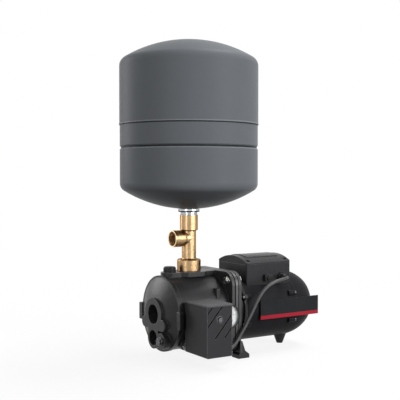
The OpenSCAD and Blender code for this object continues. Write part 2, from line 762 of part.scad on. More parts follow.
module shaft() color([0.72, 0.72, 0.74]) union() {
    on_shaft(nut_front - 2) cylinder(r = shaft_tip_r, h = head_front - nut_front + 3);
    on_shaft(head_front) cylinder(r = shaft_seal_r, h = bearing1 - head_front);
    on_shaft(bearing1 - 0.5) cylinder(r = journal_r, h = bearing_w + 1);
    on_shaft(bearing1 + bearing_w) cylinder(r = shaft_core_r, h = bearing2 - bearing1 - bearing_w);
    on_shaft(bearing2 - 0.5) cylinder(r = journal_r, h = bearing_w + 0.5);
    on_shaft(bearing2) cylinder(r = shaft_tail_r, h = fan_x + fan_w - bearing2 + 2);
}

module rotor_core() color([0.5, 0.5, 0.52]) on_shaft(core_front) tube(core_r - air_gap,
    shaft_core_r + 0.02, core_l);

module impeller() color([0.8, 0.78, 0.7]) difference() {
    union() {
        on_shaft(rear_shroud_x) cylinder(r = impeller_r, h = shroud_t);
        on_shaft(front_shroud_x) tube(impeller_r, eye_r, shroud_t);
        on_shaft(front_shroud_x - impeller_gap - diffuser_t + 0.5)
            tube(neck_r, eye_r, shroud_t + impeller_gap + diffuser_t - 1);
        on_shaft(nut_front + nut_l) cylinder(r = impeller_hub_r, h = head_front - nut_front - nut_l);
        on_shaft(front_shroud_x + 1) for (i = [0:vanes - 1]) rotate(360 / vanes * i)
            linear_extrude(passage_w + shroud_t) polygon(vane(eye_r + 2, impeller_r - 0.5, -62, 3));
    }
    on_shaft(nut_front) cylinder(r = shaft_tip_r + 0.02, h = head_front - nut_front + over);
}

module impeller_nut() color([0.75, 0.66, 0.35]) on_shaft(nut_front) difference() {
    hexagon(impeller_hub_r * 1.6, nut_l);
    translate([0, 0, -over]) cylinder(r = shaft_tip_r + 0.02, h = nut_l + 2 * over);
}

module seal_head() color([0.15, 0.15, 0.15]) on_shaft(head_front) union() {
    tube(seat_r - 1.5, shaft_seal_r + 0.02, seal_head_l * 0.6);
    tube(seat_r - 2.5, shaft_seal_r + 0.02, seal_head_l);
}

module cooling_fan() color([0.85, 0.83, 0.75]) on_shaft(fan_x) difference() {
    union() {
        cylinder(r = fan_r - 2, h = 2.5);
        cylinder(r = shaft_tail_r + 5, h = fan_w);
        for (i = [0:blades - 1]) rotate(360 / blades * i)
            translate([shaft_tail_r + 3, -1.25, 0]) cube([fan_r - shaft_tail_r - 3, 2.5, fan_w - 2]);
    }
    translate([0, 0, -over]) cylinder(r = shaft_tail_r + 0.02, h = fan_w + 2 * over);
}

// Half of the fan cover's outline, inset by the wall: a swept side, a rounded rear
// edge and a flat end
module cover_profile(inset) {
    turn = asin((cover_l - cover_round) / (cover_arc - cover_round));
    side = [motor_r - cover_arc, 0];
    edge = side + (cover_arc - cover_round) * [cos(turn), sin(turn)];
    difference() {
        union() {
            intersection() {
                translate(side) circle(r = cover_arc - inset, $fn = 180);
                polygon([[0, 0], [motor_r + 9, 0], side + 2 * cover_arc * [cos(turn), sin(turn)],
                    edge, [0, edge[1]]]);
            }
            translate(edge) circle(r = cover_round - inset);
            square([edge[0], cover_l - inset]);
        }
        translate([-200, -over]) square([200, 300]);
    }
}

module fan_cover() color([0.26, 0.26, 0.27]) difference() {
    on_shaft(cover_front) rotate_extrude() difference() {
        cover_profile(0);
        cover_profile(cover_wall);
        translate([0, -over]) square([motor_r - cover_wall, over + shield_l - shield_open + 0.4]);
    }
    on_shaft(fan_x + fan_w + 3) for (i = [0:slots - 1]) rotate(360 / slots * i)
        translate([14, -2, 0]) cube([26, 4, 40]);
}

module name_band() color([0.19, 0.19, 0.2]) {
    y = -motor_r - 2.5;
    union() {
        translate([frame_front + name_back, y - name_t, axis_z - name_h / 2]) cube([name_l, name_t, name_h]);
        difference() {
            for (x = [10, 66]) translate([frame_front + name_back + x, y - 0.5, axis_z - name_h / 2 + 2])
                cube([6, 14, name_h - 4]);
            on_shaft(frame_front) cylinder(r = motor_r + fit, h = frame_l + shield_l);
        }
    }
}

module box_plan(l, w, r) translate([box_mid, 0]) rounded([l, w], r);

module at_posts() for (x = [box_front + post_inset, box_front + box_l - post_inset],
    y = [-1, 1]) translate([x, y * (box_half - post_inset)]) children();

module terminal_box() color([0.17, 0.17, 0.18]) difference() {
    translate([0, 0, axis_z + 36]) linear_extrude(box_rim - 36) box_plan(box_l, 2 * box_half, 3);
    difference() {
        translate([0, 0, axis_z + 30]) linear_extrude(box_rim - 30 + over) difference() {
            box_plan(box_l - 2 * box_wall, 2 * (box_half - box_wall), 2);
            at_posts() circle(r = lid_screw_r + 3.4);
        }
        on_shaft(box_front - 10) cylinder(r = floor_r, h = box_l + 20);
    }
    on_shaft(box_front - 10) cylinder(r = motor_r + fit, h = box_l + 20);
    translate([0, 0, rim_z + lid_seat - lid_screw_l - 2.5]) at_posts()
        cylinder(r = lid_screw_r + fit, h = lid_screw_l + 2);
    for (x = [gland_x, box_front + spare_back])
        to_near(x, -box_half + box_wall + over, gland_z) cylinder(r = 5 + fit, h = box_wall + 2 * over);
}

// Cross-section of the cover's crown, seen along the shaft
module crown_profile(drop, half, low) intersection() {
    translate([0, crown_z - axis_z]) circle(r = crown_r - drop, $fn = 180);
    translate([-half, low]) square([2 * half, 60]);
}

module terminal_cover() color([0.2, 0.2, 0.21]) difference() {
    union() {
        intersection() {
            on_shaft(box_front - 2) linear_extrude(box_l + 4) crown_profile(0, box_half + 2, box_rim);
            translate([0, 0, rim_z - 1]) linear_extrude(60) box_plan(box_l, 2 * box_half, 3);
        }
        on_shaft(box_front + 16) linear_extrude(box_l - 32) crown_profile(-1.4, box_half * 0.55, box_rim);
    }
    difference() {
        on_shaft(box_front + box_wall) linear_extrude(box_l - 2 * box_wall)
            crown_profile(box_wall, box_half - box_wall, box_rim - 1);
        translate([0, 0, rim_z - 5]) at_posts() cylinder(r = lid_head_r + 3.6, h = cover_cut);
    }
    translate([0, 0, rim_z - over]) at_posts() cylinder(r = lid_screw_r + 0.3, h = cover_cut);
    translate([0, 0, rim_z + lid_seat]) at_posts() cylinder(r = lid_head_r + 0.8, h = cover_cut);
}

module terminal_screws() color([0.7, 0.7, 0.7]) translate([0, 0, rim_z + lid_seat]) at_posts() union() {
    difference() {
        cylinder(r = lid_head_r, h = lid_head_h);
        for (a = [0, 90]) rotate(a) translate([-lid_head_r * 2 / 3, -0.4, lid_head_h / 2])
            cube([lid_head_r * 4 / 3, 0.8, lid_head_h]);
    }
    translate([0, 0, -lid_screw_l]) cylinder(r = lid_screw_r, h = lid_screw_l + 1);
}

module terminal_block() color([0.9, 0.88, 0.8]) difference() {
    translate([box_mid - 20, -32, axis_z + 40]) cube([40, 18, 46]);
    on_shaft(box_front - 10) cylinder(r = floor_r + fit, h = box_l + 20);
    for (x = [-12, 0, 12]) translate([box_mid + x, -23, axis_z + 80]) cylinder(r = 2.5, h = 20);
}

module capacitor() color([0.85, 0.85, 0.83]) {
    y = 30;
    z = sqrt(pow(floor_r + capacitor_r + fit, 2) - y * y);
    translate([box_mid - capacitor_l / 2, y, axis_z + z]) rotate([90, 0, 90]) union() {
        cylinder(r = capacitor_r, h = capacitor_l);
        translate([0, 0, capacitor_l - over]) cylinder(r = capacitor_r * 0.5, h = 5);
    }
}

module cable_gland() color([0.12, 0.12, 0.12]) to_near(gland_x, -box_half, gland_z) difference() {
    union() {
        rotate_extrude() {
            square([gland_r, 5]);
            polygon([[0, 5], [gland_r - 1, 5], [gland_r - 1, 12], [cable_r + 1.6, gland_out], [0, gland_out]]);
        }
        translate([0, 0, -box_wall - 2]) cylinder(r = 5, h = box_wall + 3);
    }
    translate([0, 0, -10]) cylinder(r = cable_r + fit, h = gland_out + 12);
}

module spare_gland() color([0.12, 0.12, 0.12]) to_near(box_front + spare_back, -box_half, gland_z) union() {
    linear_extrude(7) rounded([20, 14], 2);
    cylinder(r = 5.5, h = 10);
    translate([0, 0, -box_wall - 2]) cylinder(r = 5, h = box_wall + 3);
}

module outlet_tee() color([0.8, 0.62, 0.33]) translate([outlet_x, 0, 0]) difference() {
    union() {
        translate([0, 0, ridge_top - spigot_l + 0.2]) cylinder(r = thread_r, h = spigot_l);
        translate([0, 0, ridge_top]) rotate_extrude()
            polygon([[0, 0], [collar_r - 1, 0], [collar_r, 1], [collar_r, collar_h - 2],
                [collar_r - 2, collar_h], [tee_r + 1.5, collar_h], [tee_r, collar_h + 2],
                [tee_r, tee_h - top_collar_h - 2], [thread_r + top_collar_wall, tee_h - top_collar_h],
                [thread_r + top_collar_wall, tee_h], [0, tee_h]]);
        translate([0, 0, branch_z]) rotate([0, -90, 0]) rotate_extrude()
            polygon([[0, 0], [tee_r, 0], [tee_r, tee_r - 3], [thread_r - 0.6, tee_r + 2],
                [thread_r, branch_l - branch_thread_l], [thread_r, branch_l], [0, branch_l]]);
    }
    translate([0, 0, ridge_top - spigot_l - over]) cylinder(r = tee_bore_r, h = tee_h + spigot_l + 2 * over);
    translate([0, 0, tee_top - tank_thread_l]) cylinder(r = thread_r + fit, h = tank_thread_l + over);
    translate([0, 0, branch_z]) rotate([0, -90, 0]) cylinder(r = tee_bore_r, h = branch_l + over);
    translate([0, 0, branch_z]) rotate([0, -90, 0]) translate([0, 0, branch_l - branch_thread_l])
        cylinder(r = thread_r - branch_wall, h = branch_thread_l + over);
}

module tank_connection() color([0.7, 0.71, 0.72]) translate([outlet_x, 0, tee_top]) difference() {
    union() {
        translate([0, 0, 0.2 - tank_thread_l]) cylinder(r = thread_r, h = tank_thread_l + neck_gap + 0.3);
        translate([0, 0, neck_gap]) cylinder(r = tank_flange_r, h = tank_flange_t);
        translate([0, 0, neck_gap]) cylinder(r = 14, h = tank_flange_t + 7);
    }
    translate([0, 0, -tank_thread_l - over]) cylinder(r = tee_bore_r, h = tank_thread_l + neck_gap + 20);
}

// Upper half of the tank's outline: a crown, a rounded shoulder and a straight wall
// down to the height low, all inset by the wall
module tank_half(radius, inset, low) {
    k = shoulder_r;
    crown_rad = (pow(tank_end_h, 2) + pow(radius - k, 2) - k * k) / (2 * (tank_end_h - k));
    shoulder_z = tank_h / 2 - tank_end_h;
    centre_z = tank_h / 2 - crown_rad;
    at = [radius - k, shoulder_z];
    away = at - [0, centre_z];
    translate([0, low]) square([radius - inset, shoulder_z - low]);
    translate(at) circle(r = k - inset);
    intersection() {
        translate([0, centre_z]) circle(r = crown_rad - inset, $fn = 360);
        polygon([[0, shoulder_z - over], [at[0], shoulder_z - over], at, at + away * 0.5,
            [0, tank_h]]);
    }
}

module tank_lower_shell() color([0.35, 0.36, 0.38]) difference() {
    translate([outlet_x, 0, tank_z + tank_h / 2]) rotate_extrude() difference() {
        union() {
            difference() {
                mirror([0, 1]) tank_half(lower_r, 0, tank_h / 2 - seam_up);
                translate([0, seam_up - tank_h / 2]) square([200, 200]);
            }
            translate([joggle_r - 2 * shell_t, seam_up - tank_h / 2 - 1])
                square([2 * shell_t, joggle_h + 1]);
        }
        difference() {
            union() {
                mirror([0, 1]) tank_half(lower_r, shell_t, tank_h / 2 - seam_up);
                translate([0, seam_up - tank_h / 2 - 2]) square([joggle_r - shell_t, joggle_h + 3]);
            }
            groove() circle(r = groove_d + 1.4 + shell_t, $fn = 48);
        }
        groove() circle(r = groove_d + 1.4, $fn = 48);
        translate([-400, -400]) square([400, 800]);
    }
    translate([outlet_x, 0, tank_z - 5]) cylinder(r = 14 + fit, h = 20);
}

module groove() translate([lower_r + 1.4, seam_up - tank_h / 2 - groove_down]) children();

module tank_upper_shell() color([0.37, 0.38, 0.4]) translate([outlet_x, 0, 0]) difference() {
    union() {
        translate([0, 0, tank_z + tank_h / 2]) rotate_extrude() difference() {
            union() {
                tank_half(tank_r, 0, seam_up - tank_h / 2);
                translate([tank_r - 1, seam_up - tank_h / 2]) square([1.6, 2.6]);
            }
            tank_half(tank_r, shell_t, seam_up - tank_h / 2 - over);
            translate([-400, -400]) square([400, 800]);
        }
        translate([0, 0, valve_floor - shell_t]) cylinder(r = recess[0] + shell_t, h = recess[1] + shell_t - 1);
    }
    translate([0, 0, valve_floor]) cylinder(r = recess[0], h = 40);
    translate([0, 0, valve_floor - 20]) cylinder(r = valve_r + fit, h = 40);
}

clinch_r = lower_r - shell_t - fit;

module clinch_ring() color([0.6, 0.6, 0.62]) translate([outlet_x, 0, seam_z - 18])
    tube(clinch_r, clinch_r - 3.5, 7);

module tank_diaphragm() color([0.1, 0.1, 0.1]) translate([outlet_x, 0, seam_z - 11]) {
    rim = clinch_r - 6;
    rad = (rim * rim + diaphragm_h * diaphragm_h) / (2 * diaphragm_h);
    rotate_extrude() {
        translate([rim, 0]) square([6, 8]);
        intersection() {
            difference() {
                translate([0, diaphragm_h - rad]) circle(r = rad + diaphragm_t, $fn = 180);
                translate([0, diaphragm_h - rad]) circle(r = rad, $fn = 180);
            }
            square([rim + 1.5, 300]);
        }
    }
}

module air_valve() color([0.78, 0.66, 0.36]) translate([outlet_x, 0, valve_floor]) difference() {
    union() {
        cylinder(r = valve_r + 3, h = 2);
        translate([0, 0, -6]) cylinder(r = valve_r, h = 18);
    }
    translate([0, 0, -3]) cylinder(r = pin_r + 0.1, h = 30);
}

module valve_pin() color([0.8, 0.8, 0.8]) translate([outlet_x, 0, valve_floor - 1])
    cylinder(r = pin_r, h = 12.6);

module valve_cap() color([0.1, 0.1, 0.1]) translate([outlet_x, 0, valve_floor + 2 + near]) difference() {
    rotate_extrude() {
        square([valve_r + 2.2, 10.5]);
        square([valve_r + 1.2, 12]);
    }
    translate([0, 0, -over]) cylinder(r = valve_r + 0.1, h = 10.2 + over);
}

module switch_nipple() color([0.72, 0.72, 0.72]) to_near(nipple_x, 0, nipple_z) difference() {
    union() {
        translate([0, 0, nipple_out - 15]) cylinder(r = nipple_r, h = switch_back - nipple_out + 14.8);
        translate([0, 0, nipple_out]) hexagon(nipple_af, hexagon_l);
    }
    translate([0, 0, nipple_out - 28]) cylinder(r = 3, h = switch_back);
}

module on_switch(depth) to_near(0, -switch_back - depth, 0) children();

module switch_plan(inset, r) translate([switch_x + switch_w / 2, switch_z + switch_h / 2])
    rounded([switch_w - 2 * inset, switch_h - 2 * inset], r);

module switch_base() color([0.62, 0.62, 0.6]) difference() {
    union() {
        on_switch(0) linear_extrude(2) switch_plan(switch_wall + 0.2, 1.5);
        difference() {
            to_near(nipple_x, -nipple_out - hexagon_l - 0.2, nipple_z)
                cylinder(r = nipple_r + 1.5, h = switch_back - nipple_out - hexagon_l + 0.8);
            on_switch(0) translate([switch_x, switch_z]) cube([switch_w, switch_wall + 0.2, 2]);
        }
        on_switch(0) translate([chamber_x, chamber_z]) cylinder(r = chamber_r, h = 8);
        on_switch(0) for (s = [-1, 1]) translate([chamber_x + s * 8 - 1.5, chamber_z + 17, 0]) cube([3, 7, 24]);
        on_switch(20) translate([chamber_x, chamber_z + 20]) rotate([0, 90, 0]) translate([0, 0, -8])
            cylinder(r = 1.5, h = 16);
        on_switch(0) translate([boss_x, boss_z]) cylinder(r = 2.5, h = switch_d - 6);
    }
    on_switch(-30) translate([nipple_x, nipple_z]) cylinder(r = nipple_r + fit, h = 30);
    on_switch(-1) translate([nipple_x, nipple_z]) cylinder(r = 2.3, h = 4);
    on_switch(2) translate([chamber_x, chamber_z]) cylinder(r = chamber_r - 2, h = 10);
}

module switch_membrane() color([0.1, 0.1, 0.1]) on_switch(6 - 1.5) translate([chamber_x, chamber_z])
    cylinder(r = chamber_r - 2 - fit, h = 1.5);

module pressure_plunger() color([0.7, 0.7, 0.7]) on_switch(6 + 0.1) translate([chamber_x, chamber_z]) union() {
    cylinder(r = chamber_r - 4, h = 2);
    cylinder(r = 3, h = 7);
    cylinder(r = 1.5, h = 8.1);
}

module switch_lever() color([0.75, 0.7, 0.5]) on_switch(14.4) translate([chamber_x, chamber_z]) difference() {
    union() {
        translate([-4, -6, 0]) cube([8, 40, 2]);
        translate([-4, 17, 0]) cube([8, 6, 9]);
    }
    translate([0, 20, 5.6]) rotate([0, 90, 0]) translate([0, 0, -10]) cylinder(r = 1.5 + fit, h = 20);
}

module range_spring() color([0.75, 0.75, 0.76]) on_switch(2) translate([boss_x + 14, boss_z])
    rotate_extrude() difference() {
        translate([5, 0]) square([2, 30]);
        for (i = [0:6]) translate([7.2, 4 + 4 * i]) circle(r = 1.4, $fn = 24);
    }

module contact_block() color([0.15, 0.15, 0.15]) on_switch(2) translate([switch_x + switch_w - 20, switch_z + 8])
    difference() {
        cube([13, 44, 26]);
        for (i = [0:3]) translate([6.5, 7 + 10 * i, 20]) cylinder(r = 3, h = 7);
    }

module switch_cover() color([0.16, 0.16, 0.17]) difference() {
    union() {
        on_switch(0) linear_extrude(switch_d) switch_plan(0, 2.5);
        translate([switch_x - switch_lip, -switch_front - switch_lip, switch_z + switch_h - 3])
            cube([switch_w + 2 * switch_lip, switch_d + switch_lip, 3]);
        on_switch(switch_d - 3) translate([boss_x, boss_z]) cylinder(r = 7, h = 4);
    }
    on_switch(-over) linear_extrude(switch_d - switch_wall + over) switch_plan(switch_wall, 1.5);
    on_switch(switch_d - 5) translate([boss_x, boss_z]) cylinder(r = 2.5 + fit, h = 10);
    on_switch(switch_d - 1) translate([boss_x, boss_z]) cylinder(r = 5, h = 10);
    on_switch(switch_d - 1) intersection() {
        translate([switch_x + 2, switch_z + 0.36 * switch_h]) cube([switch_w - 4, 0.6 * switch_h, 3]);
        translate([boss_x, boss_z]) difference() {
            for (d = [-28, -12, 15, 31]) rotate(49) translate([-70, -d - 0.8, 0]) cube([140, 1.6, 3]);
            translate([0, 0, -1]) cylinder(r = 7, h = 5);
        }
    }
    translate([switch_x + switch_w - 4, -switch_gland_y, switch_z + switch_gland_up]) rotate([0, 90, 0])
        cylinder(r = 5 + fit, h = 8);
}

module cover_screw() color([0.5, 0.5, 0.5]) on_switch(switch_d - 6) translate([boss_x, boss_z]) union() {
    cylinder(r = 2.5, h = 6);
    translate([0, 0, 5]) hexagon(7.4, 3.5);
}

module switch_gland() color([0.1, 0.1, 0.1])
    translate([switch_x + switch_w, -switch_gland_y, switch_z + switch_gland_up]) rotate([0, 90, 0]) difference() {
        union() {
            rotate_extrude() {
                square([7.5, 4]);
                polygon([[0, 4], [6.5, 4], [cable_r + 1.5, 13], [0, 13]]);
            }
            translate([0, 0, -switch_wall - 2]) cylinder(r = 5, h = switch_wall + 3);
        }
        translate([0, 0, -10]) cylinder(r = cable_r + fit, h = 30);
    }

// A closed tube of flat-sided rings along a list of points
function unit(v) = v / norm(v);
function way(p, i) = unit(p[min(i + 1, len(p) - 1)] - p[max(i - 1, 0)]);
function ring_at(p, i, r, n) = let (t = i == 0 ? [0, -1, 0] : way(p, i), a = unit(cross(t, [0, 0, 1])),
    b = cross(a, t)) [for (k = [0:n - 1]) p[i] + r * (cos(360 * k / n) * a + sin(360 * k / n) * b)];

module swept(p, r, n) polyhedron(
    points = [for (i = [0:len(p) - 1]) each ring_at(p, i, r, n)],
    faces = concat([[for (k = [0:n - 1]) k]],
        [for (i = [0:len(p) - 2], k = [0:n - 1])
            [i * n + k, (i + 1) * n + k, (i + 1) * n + (k + 1) % n, i * n + (k + 1) % n]],
        [[for (k = [n - 1:-1:0]) (len(p) - 1) * n + k]]));

module switch_cable() color([0.12, 0.12, 0.12]) swept(cable_route, cable_r, cable_sides);

module at_gauge(d) to_near(gauge_x, -gauge_back - d, axis_z) children();

module gauge_case() color([0.08, 0.08, 0.08]) difference() {
    union() {
        at_gauge(0) cylinder(r = gauge_r - 1, h = gauge_d);
        at_gauge(gauge_d - 4) cylinder(r = gauge_r, h = 4);
        at_gauge(-gauge_back + gauge_out + near) hexagon(15, gauge_back - gauge_out + 0.2);
        at_gauge(-gauge_back + cavity_r + 0.5) cylinder(r = gauge_thread_r, h = gauge_back - cavity_r + 0.5);
    }
    at_gauge(gauge_wall) cylinder(r = gauge_r - 1 - gauge_wall, h = gauge_d - gauge_wall - 1);
    at_gauge(gauge_d - 2) cylinder(r = gauge_r - 1 - gauge_wall, h = 4);
}

module gauge_dial() color([0.95, 0.95, 0.95]) at_gauge(gauge_d - 6) difference() {
    cylinder(r = gauge_r - 1 - gauge_wall - fit, h = 1);
    translate([0, 0, -over]) cylinder(r = 0.8 + fit, h = 3);
}

module gauge_needle() color([0.1, 0.1, 0.1]) at_gauge(gauge_d - 6) union() {
    translate([0, 0, -2]) cylinder(r = 0.8, h = 4.2);
    translate([0, 0, 1.3]) cylinder(r = 2.2, h = 1);
    translate([0, 0, 1.4]) rotate(225) linear_extrude(0.7)
        polygon([[-6, -1.4], [0, -1.1], [gauge_r * 0.66, -0.3], [gauge_r * 0.66, 0.3], [0, 1.1], [-6, 1.4]]);
}

module gauge_lens() color([0.8, 0.9, 0.95, 0.4]) at_gauge(gauge_d - 2.4)
    cylinder(r = gauge_r - 1 - gauge_wall - fit, h = 1.6);

pump_housing();
diffuser();
housing_gasket();
seal_plate();
flange_bolts();
flange_nuts();
filler_plug();
filler_seal();
drain_plug();
seal_seat();
motor_bracket();
motor_screws();
motor_frame();
stator_core();
windings();
end_shield();
motor_foot();
bearing_outers();
fan_cover();
name_band();
terminal_box();
terminal_cover();
terminal_screws();
terminal_block();
capacitor();
cable_gland();
spare_gland();
shaft();
rotor_core();
impeller();
impeller_nut();
seal_head();
bearing_inners();
bearing_balls();
cooling_fan();
outlet_tee();
tank_connection();
tank_lower_shell();
tank_upper_shell();
clinch_ring();
tank_diaphragm();
air_valve();
valve_pin();
valve_cap();
switch_nipple();
switch_base();
switch_membrane();
pressure_plunger();
switch_lever();
range_spring();
contact_block();
switch_cover();
cover_screw();
switch_gland();
switch_cable();
gauge_case();
gauge_dial();
gauge_needle();
gauge_lens();
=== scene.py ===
import bpy
import bmesh
import math
from mathutils import Euler, Matrix, Vector


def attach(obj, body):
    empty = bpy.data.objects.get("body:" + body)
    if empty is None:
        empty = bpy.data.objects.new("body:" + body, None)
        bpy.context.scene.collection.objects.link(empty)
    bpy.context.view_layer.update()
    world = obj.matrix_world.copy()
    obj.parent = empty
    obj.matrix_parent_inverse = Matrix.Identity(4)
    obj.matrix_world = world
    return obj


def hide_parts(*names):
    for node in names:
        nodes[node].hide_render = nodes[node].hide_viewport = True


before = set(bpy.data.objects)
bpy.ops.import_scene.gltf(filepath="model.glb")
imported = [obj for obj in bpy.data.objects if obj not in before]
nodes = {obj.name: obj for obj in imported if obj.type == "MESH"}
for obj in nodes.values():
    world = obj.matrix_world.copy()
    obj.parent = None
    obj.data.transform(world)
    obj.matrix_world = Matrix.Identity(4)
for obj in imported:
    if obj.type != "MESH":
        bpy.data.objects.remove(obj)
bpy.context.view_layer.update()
mm = 0.001
print("frame loaded,", len(nodes), "nodes")


def addObject(name, data):
    thing = bpy.data.objects.new(name, data)
    bpy.context.scene.collection.objects.link(thing)
    return thing


# camera
view = {"place": (-0.9175, -1.3784, 0.3563), "tiltDown": 1.5, "azimuth": 32.2, "lens": 72, "sensor": 36}

camera = addObject("camera", bpy.data.cameras.new("camera"))
camera.data.lens = view["lens"]
camera.data.sensor_width = view["sensor"]
camera.location = view["place"]
camera.rotation_euler = (math.radians(90 - view["tiltDown"]), 0, math.radians(-view["azimuth"]))
bpy.context.scene.camera = camera


# node trees
def addNode(tree, kind, values=None, **settings):
    node = tree.nodes.new(kind)
    for key, value in settings.items():
        setattr(node, key, value)
    for key, value in (values or {}).items():
        node.inputs[key].default_value = value
    return node


def newTree(name, kind, inputs, outputs):
    tree = bpy.data.node_groups.new(name, kind)
    for label, socketKind, value in inputs:
        socket = tree.interface.new_socket(name=label, in_out="INPUT", socket_type="NodeSocket" + socketKind)
        if value is not None:
            socket.default_value = value
    for label, socketKind in outputs:
        tree.interface.new_socket(name=label, in_out="OUTPUT", socket_type="NodeSocket" + socketKind)
    return tree, tree.nodes.new("NodeGroupInput"), tree.nodes.new("NodeGroupOutput")


# shader groups
# finer is how much finer the fine clouds are than the slow ones, fineShare their part in the mix
clouds = {"finer": 7.3, "fineShare": 0.35}


def buildMottle():
    # slow and fine clouds, mixed to one mask between 0 and 1
    tree, start, end = newTree("mottle", "ShaderNodeTree", [
        ("Vector", "Vector", None), ("Size", "Float", 30.0), ("Contrast", "Float", 1.6),
    ], [("Mask", "Float")])
    link = tree.links.new
    slow = addNode(tree, "ShaderNodeTexNoise", {"Detail": 4.0, "Roughness": 0.55})
    fine = addNode(tree, "ShaderNodeTexNoise", {"Detail": 3.0, "Roughness": 0.6})
    faster = addNode(tree, "ShaderNodeMath", {1: clouds["finer"]}, operation="MULTIPLY")
    both = addNode(tree, "ShaderNodeMix", {0: clouds["fineShare"]}, data_type="FLOAT")
    centred = addNode(tree, "ShaderNodeMath", {1: 0.5}, operation="SUBTRACT")
    spread = addNode(tree, "ShaderNodeMath", operation="MULTIPLY")
    back = addNode(tree, "ShaderNodeMath", {1: 0.5}, operation="ADD", use_clamp=True)
    link(start.outputs["Vector"], slow.inputs["Vector"])
    link(start.outputs["Vector"], fine.inputs["Vector"])
    link(start.outputs["Size"], slow.inputs["Scale"])
    link(start.outputs["Size"], faster.inputs[0])
    link(faster.outputs[0], fine.inputs["Scale"])
    link(slow.outputs["Fac"], both.inputs[2])
    link(fine.outputs["Fac"], both.inputs[3])
    link(both.outputs[0], centred.inputs[0])
    link(centred.outputs[0], spread.inputs[0])
    link(start.outputs["Contrast"], spread.inputs[1])
    link(spread.outputs[0], back.inputs[0])
    link(back.outputs[0], end.inputs["Mask"])
    return tree


def buildCastGrain():
    # height of a sand-cast or moulded skin: pits over a soft wave
    tree, start, end = newTree("castGrain", "ShaderNodeTree", [
        ("Vector", "Vector", None), ("Grain", "Float", 700.0), ("Wave", "Float", 40.0),
        ("Pits", "Float", 0.5),
    ], [("Height", "Float")])
    link = tree.links.new
    grain = addNode(tree, "ShaderNodeTexNoise", {"Detail": 2.0, "Roughness": 0.5})
    wave = addNode(tree, "ShaderNodeTexNoise", {"Detail": 1.0})
    pits = addNode(tree, "ShaderNodeTexVoronoi", feature="SMOOTH_F1")
    pitDepth = addNode(tree, "ShaderNodeMath", operation="MULTIPLY")
    uneven = addNode(tree, "ShaderNodeMath", operation="ADD")
    height = addNode(tree, "ShaderNodeMath", operation="ADD")
    for node in (grain, wave, pits):
        link(start.outputs["Vector"], node.inputs["Vector"])
    link(start.outputs["Grain"], grain.inputs["Scale"])
    link(start.outputs["Grain"], pits.inputs["Scale"])
    link(start.outputs["Wave"], wave.inputs["Scale"])
    link(pits.outputs["Distance"], pitDepth.inputs[0])
    link(start.outputs["Pits"], pitDepth.inputs[1])
    link(grain.outputs["Fac"], uneven.inputs[0])
    link(wave.outputs["Fac"], uneven.inputs[1])
    link(uneven.outputs[0], height.inputs[0])
    link(pitDepth.outputs[0], height.inputs[1])
    link(height.outputs[0], end.inputs["Height"])
    return tree


def buildSoftEdge():
    # rounded normals on sharp edges, and a mask of those edges
    tree, start, end = newTree("softEdge", "ShaderNodeTree", [
        ("Radius", "Float", 0.0008), ("WearAndSheen", "Float", 6.0),
    ], [("Normal", "Vector"), ("Edge", "Float")])
    link = tree.links.new
    bevel = addNode(tree, "ShaderNodeBevel", samples=4)
    flat = addNode(tree, "ShaderNodeNewGeometry")
    same = addNode(tree, "ShaderNodeVectorMath", operation="DOT_PRODUCT")
    away = addNode(tree, "ShaderNodeMath", {0: 1.0}, operation="SUBTRACT")
    wornAndSheen = addNode(tree, "ShaderNodeMath", operation="MULTIPLY", use_clamp=True)
    link(start.outputs["Radius"], bevel.inputs["Radius"])
    link(bevel.outputs["Normal"], same.inputs[0])
    link(flat.outputs["Normal"], same.inputs[1])
    link(same.outputs["Value"], away.inputs[1])
    link(away.outputs[0], wornAndSheen.inputs[0])
    link(start.outputs["WearAndSheen"], wornAndSheen.inputs[1])
    link(bevel.outputs["Normal"], end.inputs["Normal"])
    link(wornAndSheen.outputs[0], end.inputs["Edge"])
    return tree


def buildBoreShade():
    # 1 inside a round bore along X, as far back as the plane behind
    tree, start, end = newTree("boreShade", "ShaderNodeTree", [
        ("Vector", "Vector", None), ("Centre", "Vector", None), ("Radius", "Float", 0.02),
        ("Behind", "Float", 1.0),
    ], [("Mask", "Float")])
    link = tree.links.new
    away = addNode(tree, "ShaderNodeVectorMath", operation="SUBTRACT")
    flat = addNode(tree, "ShaderNodeVectorMath", {1: (0, 1, 1)}, operation="MULTIPLY")
    reach = addNode(tree, "ShaderNodeVectorMath", operation="LENGTH")
    within = addNode(tree, "ShaderNodeMath", operation="LESS_THAN")
    axes = addNode(tree, "ShaderNodeSeparateXYZ")
    ahead = addNode(tree, "ShaderNodeMath", operation="LESS_THAN")
    both = addNode(tree, "ShaderNodeMath", operation="MULTIPLY")
    link(start.outputs["Vector"], away.inputs[0])
    link(start.outputs["Centre"], away.inputs[1])
    link(away.outputs[0], flat.inputs[0])
    link(flat.outputs[0], reach.inputs[0])
    link(reach.outputs["Value"], within.inputs[0])
    link(start.outputs["Radius"], within.inputs[1])
    link(start.outputs["Vector"], axes.inputs[0])
    link(axes.outputs["X"], ahead.inputs[0])
    link(start.outputs["Behind"], ahead.inputs[1])
    link(within.outputs[0], both.inputs[0])
    link(ahead.outputs[0], both.inputs[1])
    link(both.outputs[0], end.inputs["Mask"])
    return tree


